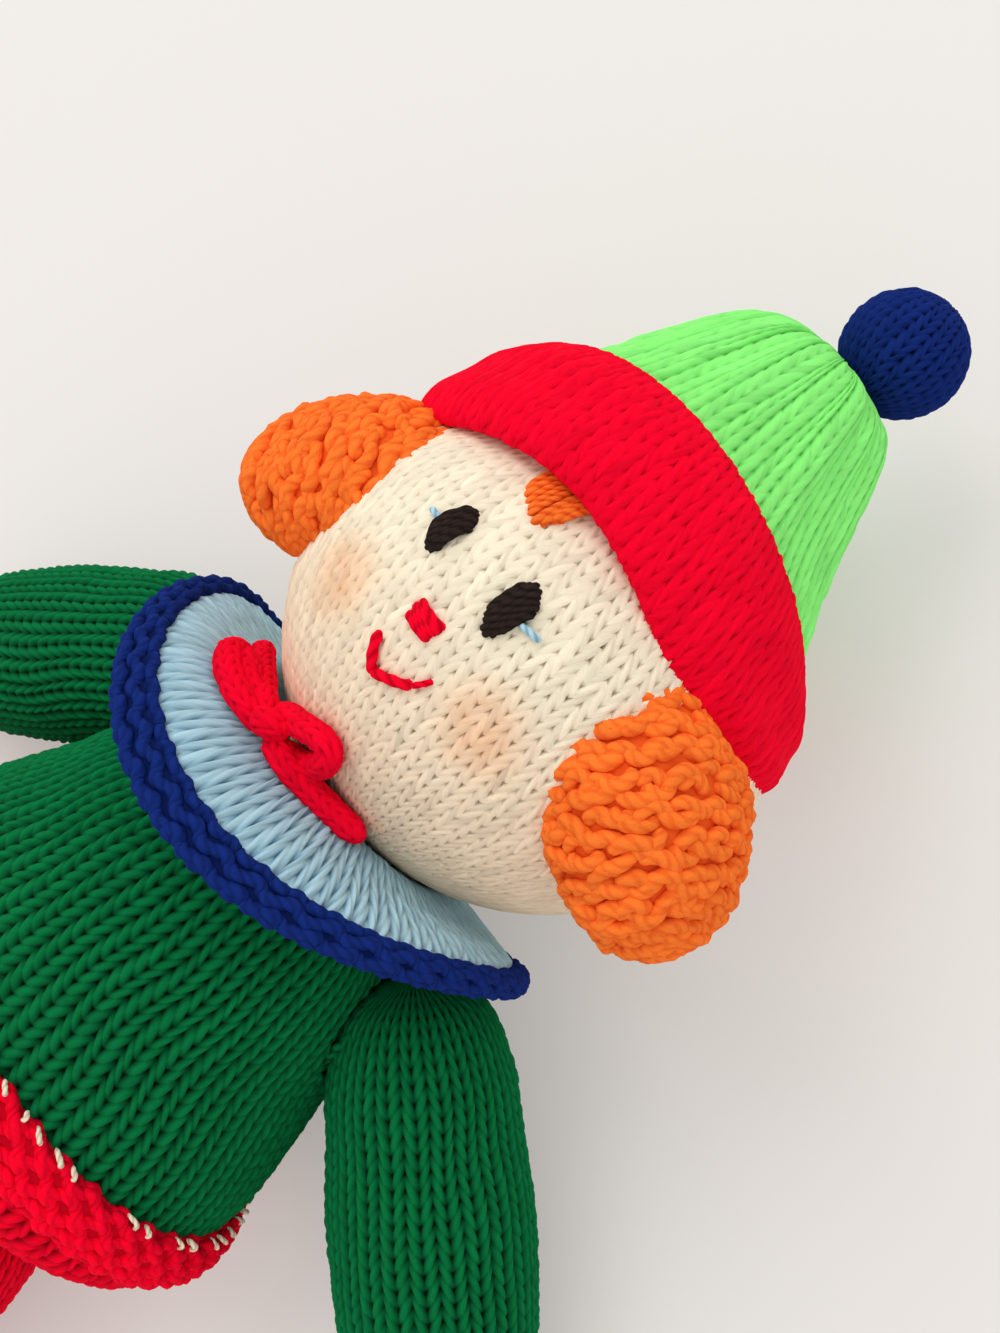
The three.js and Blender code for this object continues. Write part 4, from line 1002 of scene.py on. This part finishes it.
place(strands("nose", satin(*NOSE, count=5, radius=0.62, seed=95), RED), "head", "nose")
for label, line in MOUTH.items():
    place(strands(f"mouth_{label}", [stitch(*line)], RED), "head", f"mouth_{label}")
place(strands("forelock", satin(*FORELOCK, count=9, radius=0.55, seed=97), ORANGE), "head", "forelock")


# Scene
FLOOR_COLOUR, FLOOR_SEEN, FLOOR_SHARE = linear(233, 229, 226), linear(236, 231, 226), 0.36
FLOOR_HALF = 1.6                                         # metres


def floor_material():
    """A pale floor whose shadows, seen by the camera, are as faint as on the white table of a lit studio."""
    mat = bpy.data.materials.new("floor")
    mat.use_nodes = True
    tree = mat.node_tree
    shader = tree.nodes["Principled BSDF"]
    shader.inputs["Base Color"].default_value = FLOOR_COLOUR
    shader.inputs["Roughness"].default_value = 0.8
    shader.inputs["Specular IOR Level"].default_value = 0.2
    pale = add_node(tree, "ShaderNodeEmission", {"Color": FLOOR_SEEN})
    seen = add_node(tree, "ShaderNodeLightPath")
    share = add_node(tree, "ShaderNodeMath", {1: FLOOR_SHARE}, operation="MULTIPLY")
    mix = add_node(tree, "ShaderNodeMixShader")
    tree.links.new(seen.outputs["Is Camera Ray"], share.inputs[0])
    tree.links.new(share.outputs[0], mix.inputs[0])
    tree.links.new(shader.outputs[0], mix.inputs[1])
    tree.links.new(pale.outputs[0], mix.inputs[2])
    tree.links.new(mix.outputs[0], tree.nodes["Material Output"].inputs["Surface"])
    return mat


floor_mesh = bpy.data.meshes.new("floor")
ends = ((-1, -1), (1, -1), (1, 1), (-1, 1))
floor_mesh.from_pydata([(x * FLOOR_HALF, y * FLOOR_HALF, 0) for x, y in ends], [], [(0, 1, 2, 3)])
floor_mesh.materials.append(floor_material())
floor = bpy.data.objects.new("floor", floor_mesh)
bpy.context.scene.collection.objects.link(floor)

world = bpy.data.worlds.new("studio")
bpy.context.scene.world = world
world.use_nodes = True
world.node_tree.nodes["Background"].inputs["Color"].default_value = linear(250, 250, 250)
world.node_tree.nodes["Background"].inputs["Strength"].default_value = 0.9


def lamp(name, spot, aim, size, power):
    data = bpy.data.lights.new(name, "AREA")
    data.size = size
    data.energy = power
    obj = bpy.data.objects.new(name, data)
    bpy.context.scene.collection.objects.link(obj)
    back = unit(np.array(spot) - np.array(aim))
    right = unit(np.cross([0, 1, 0], back))
    obj.matrix_world = standing(right, np.cross(back, right), back, spot)


lamp("key", (-0.9, 0.3, 1.3), (0, 0.05, 0.03), 0.9, 8)
bpy.context.scene.view_settings.view_transform = "Standard"
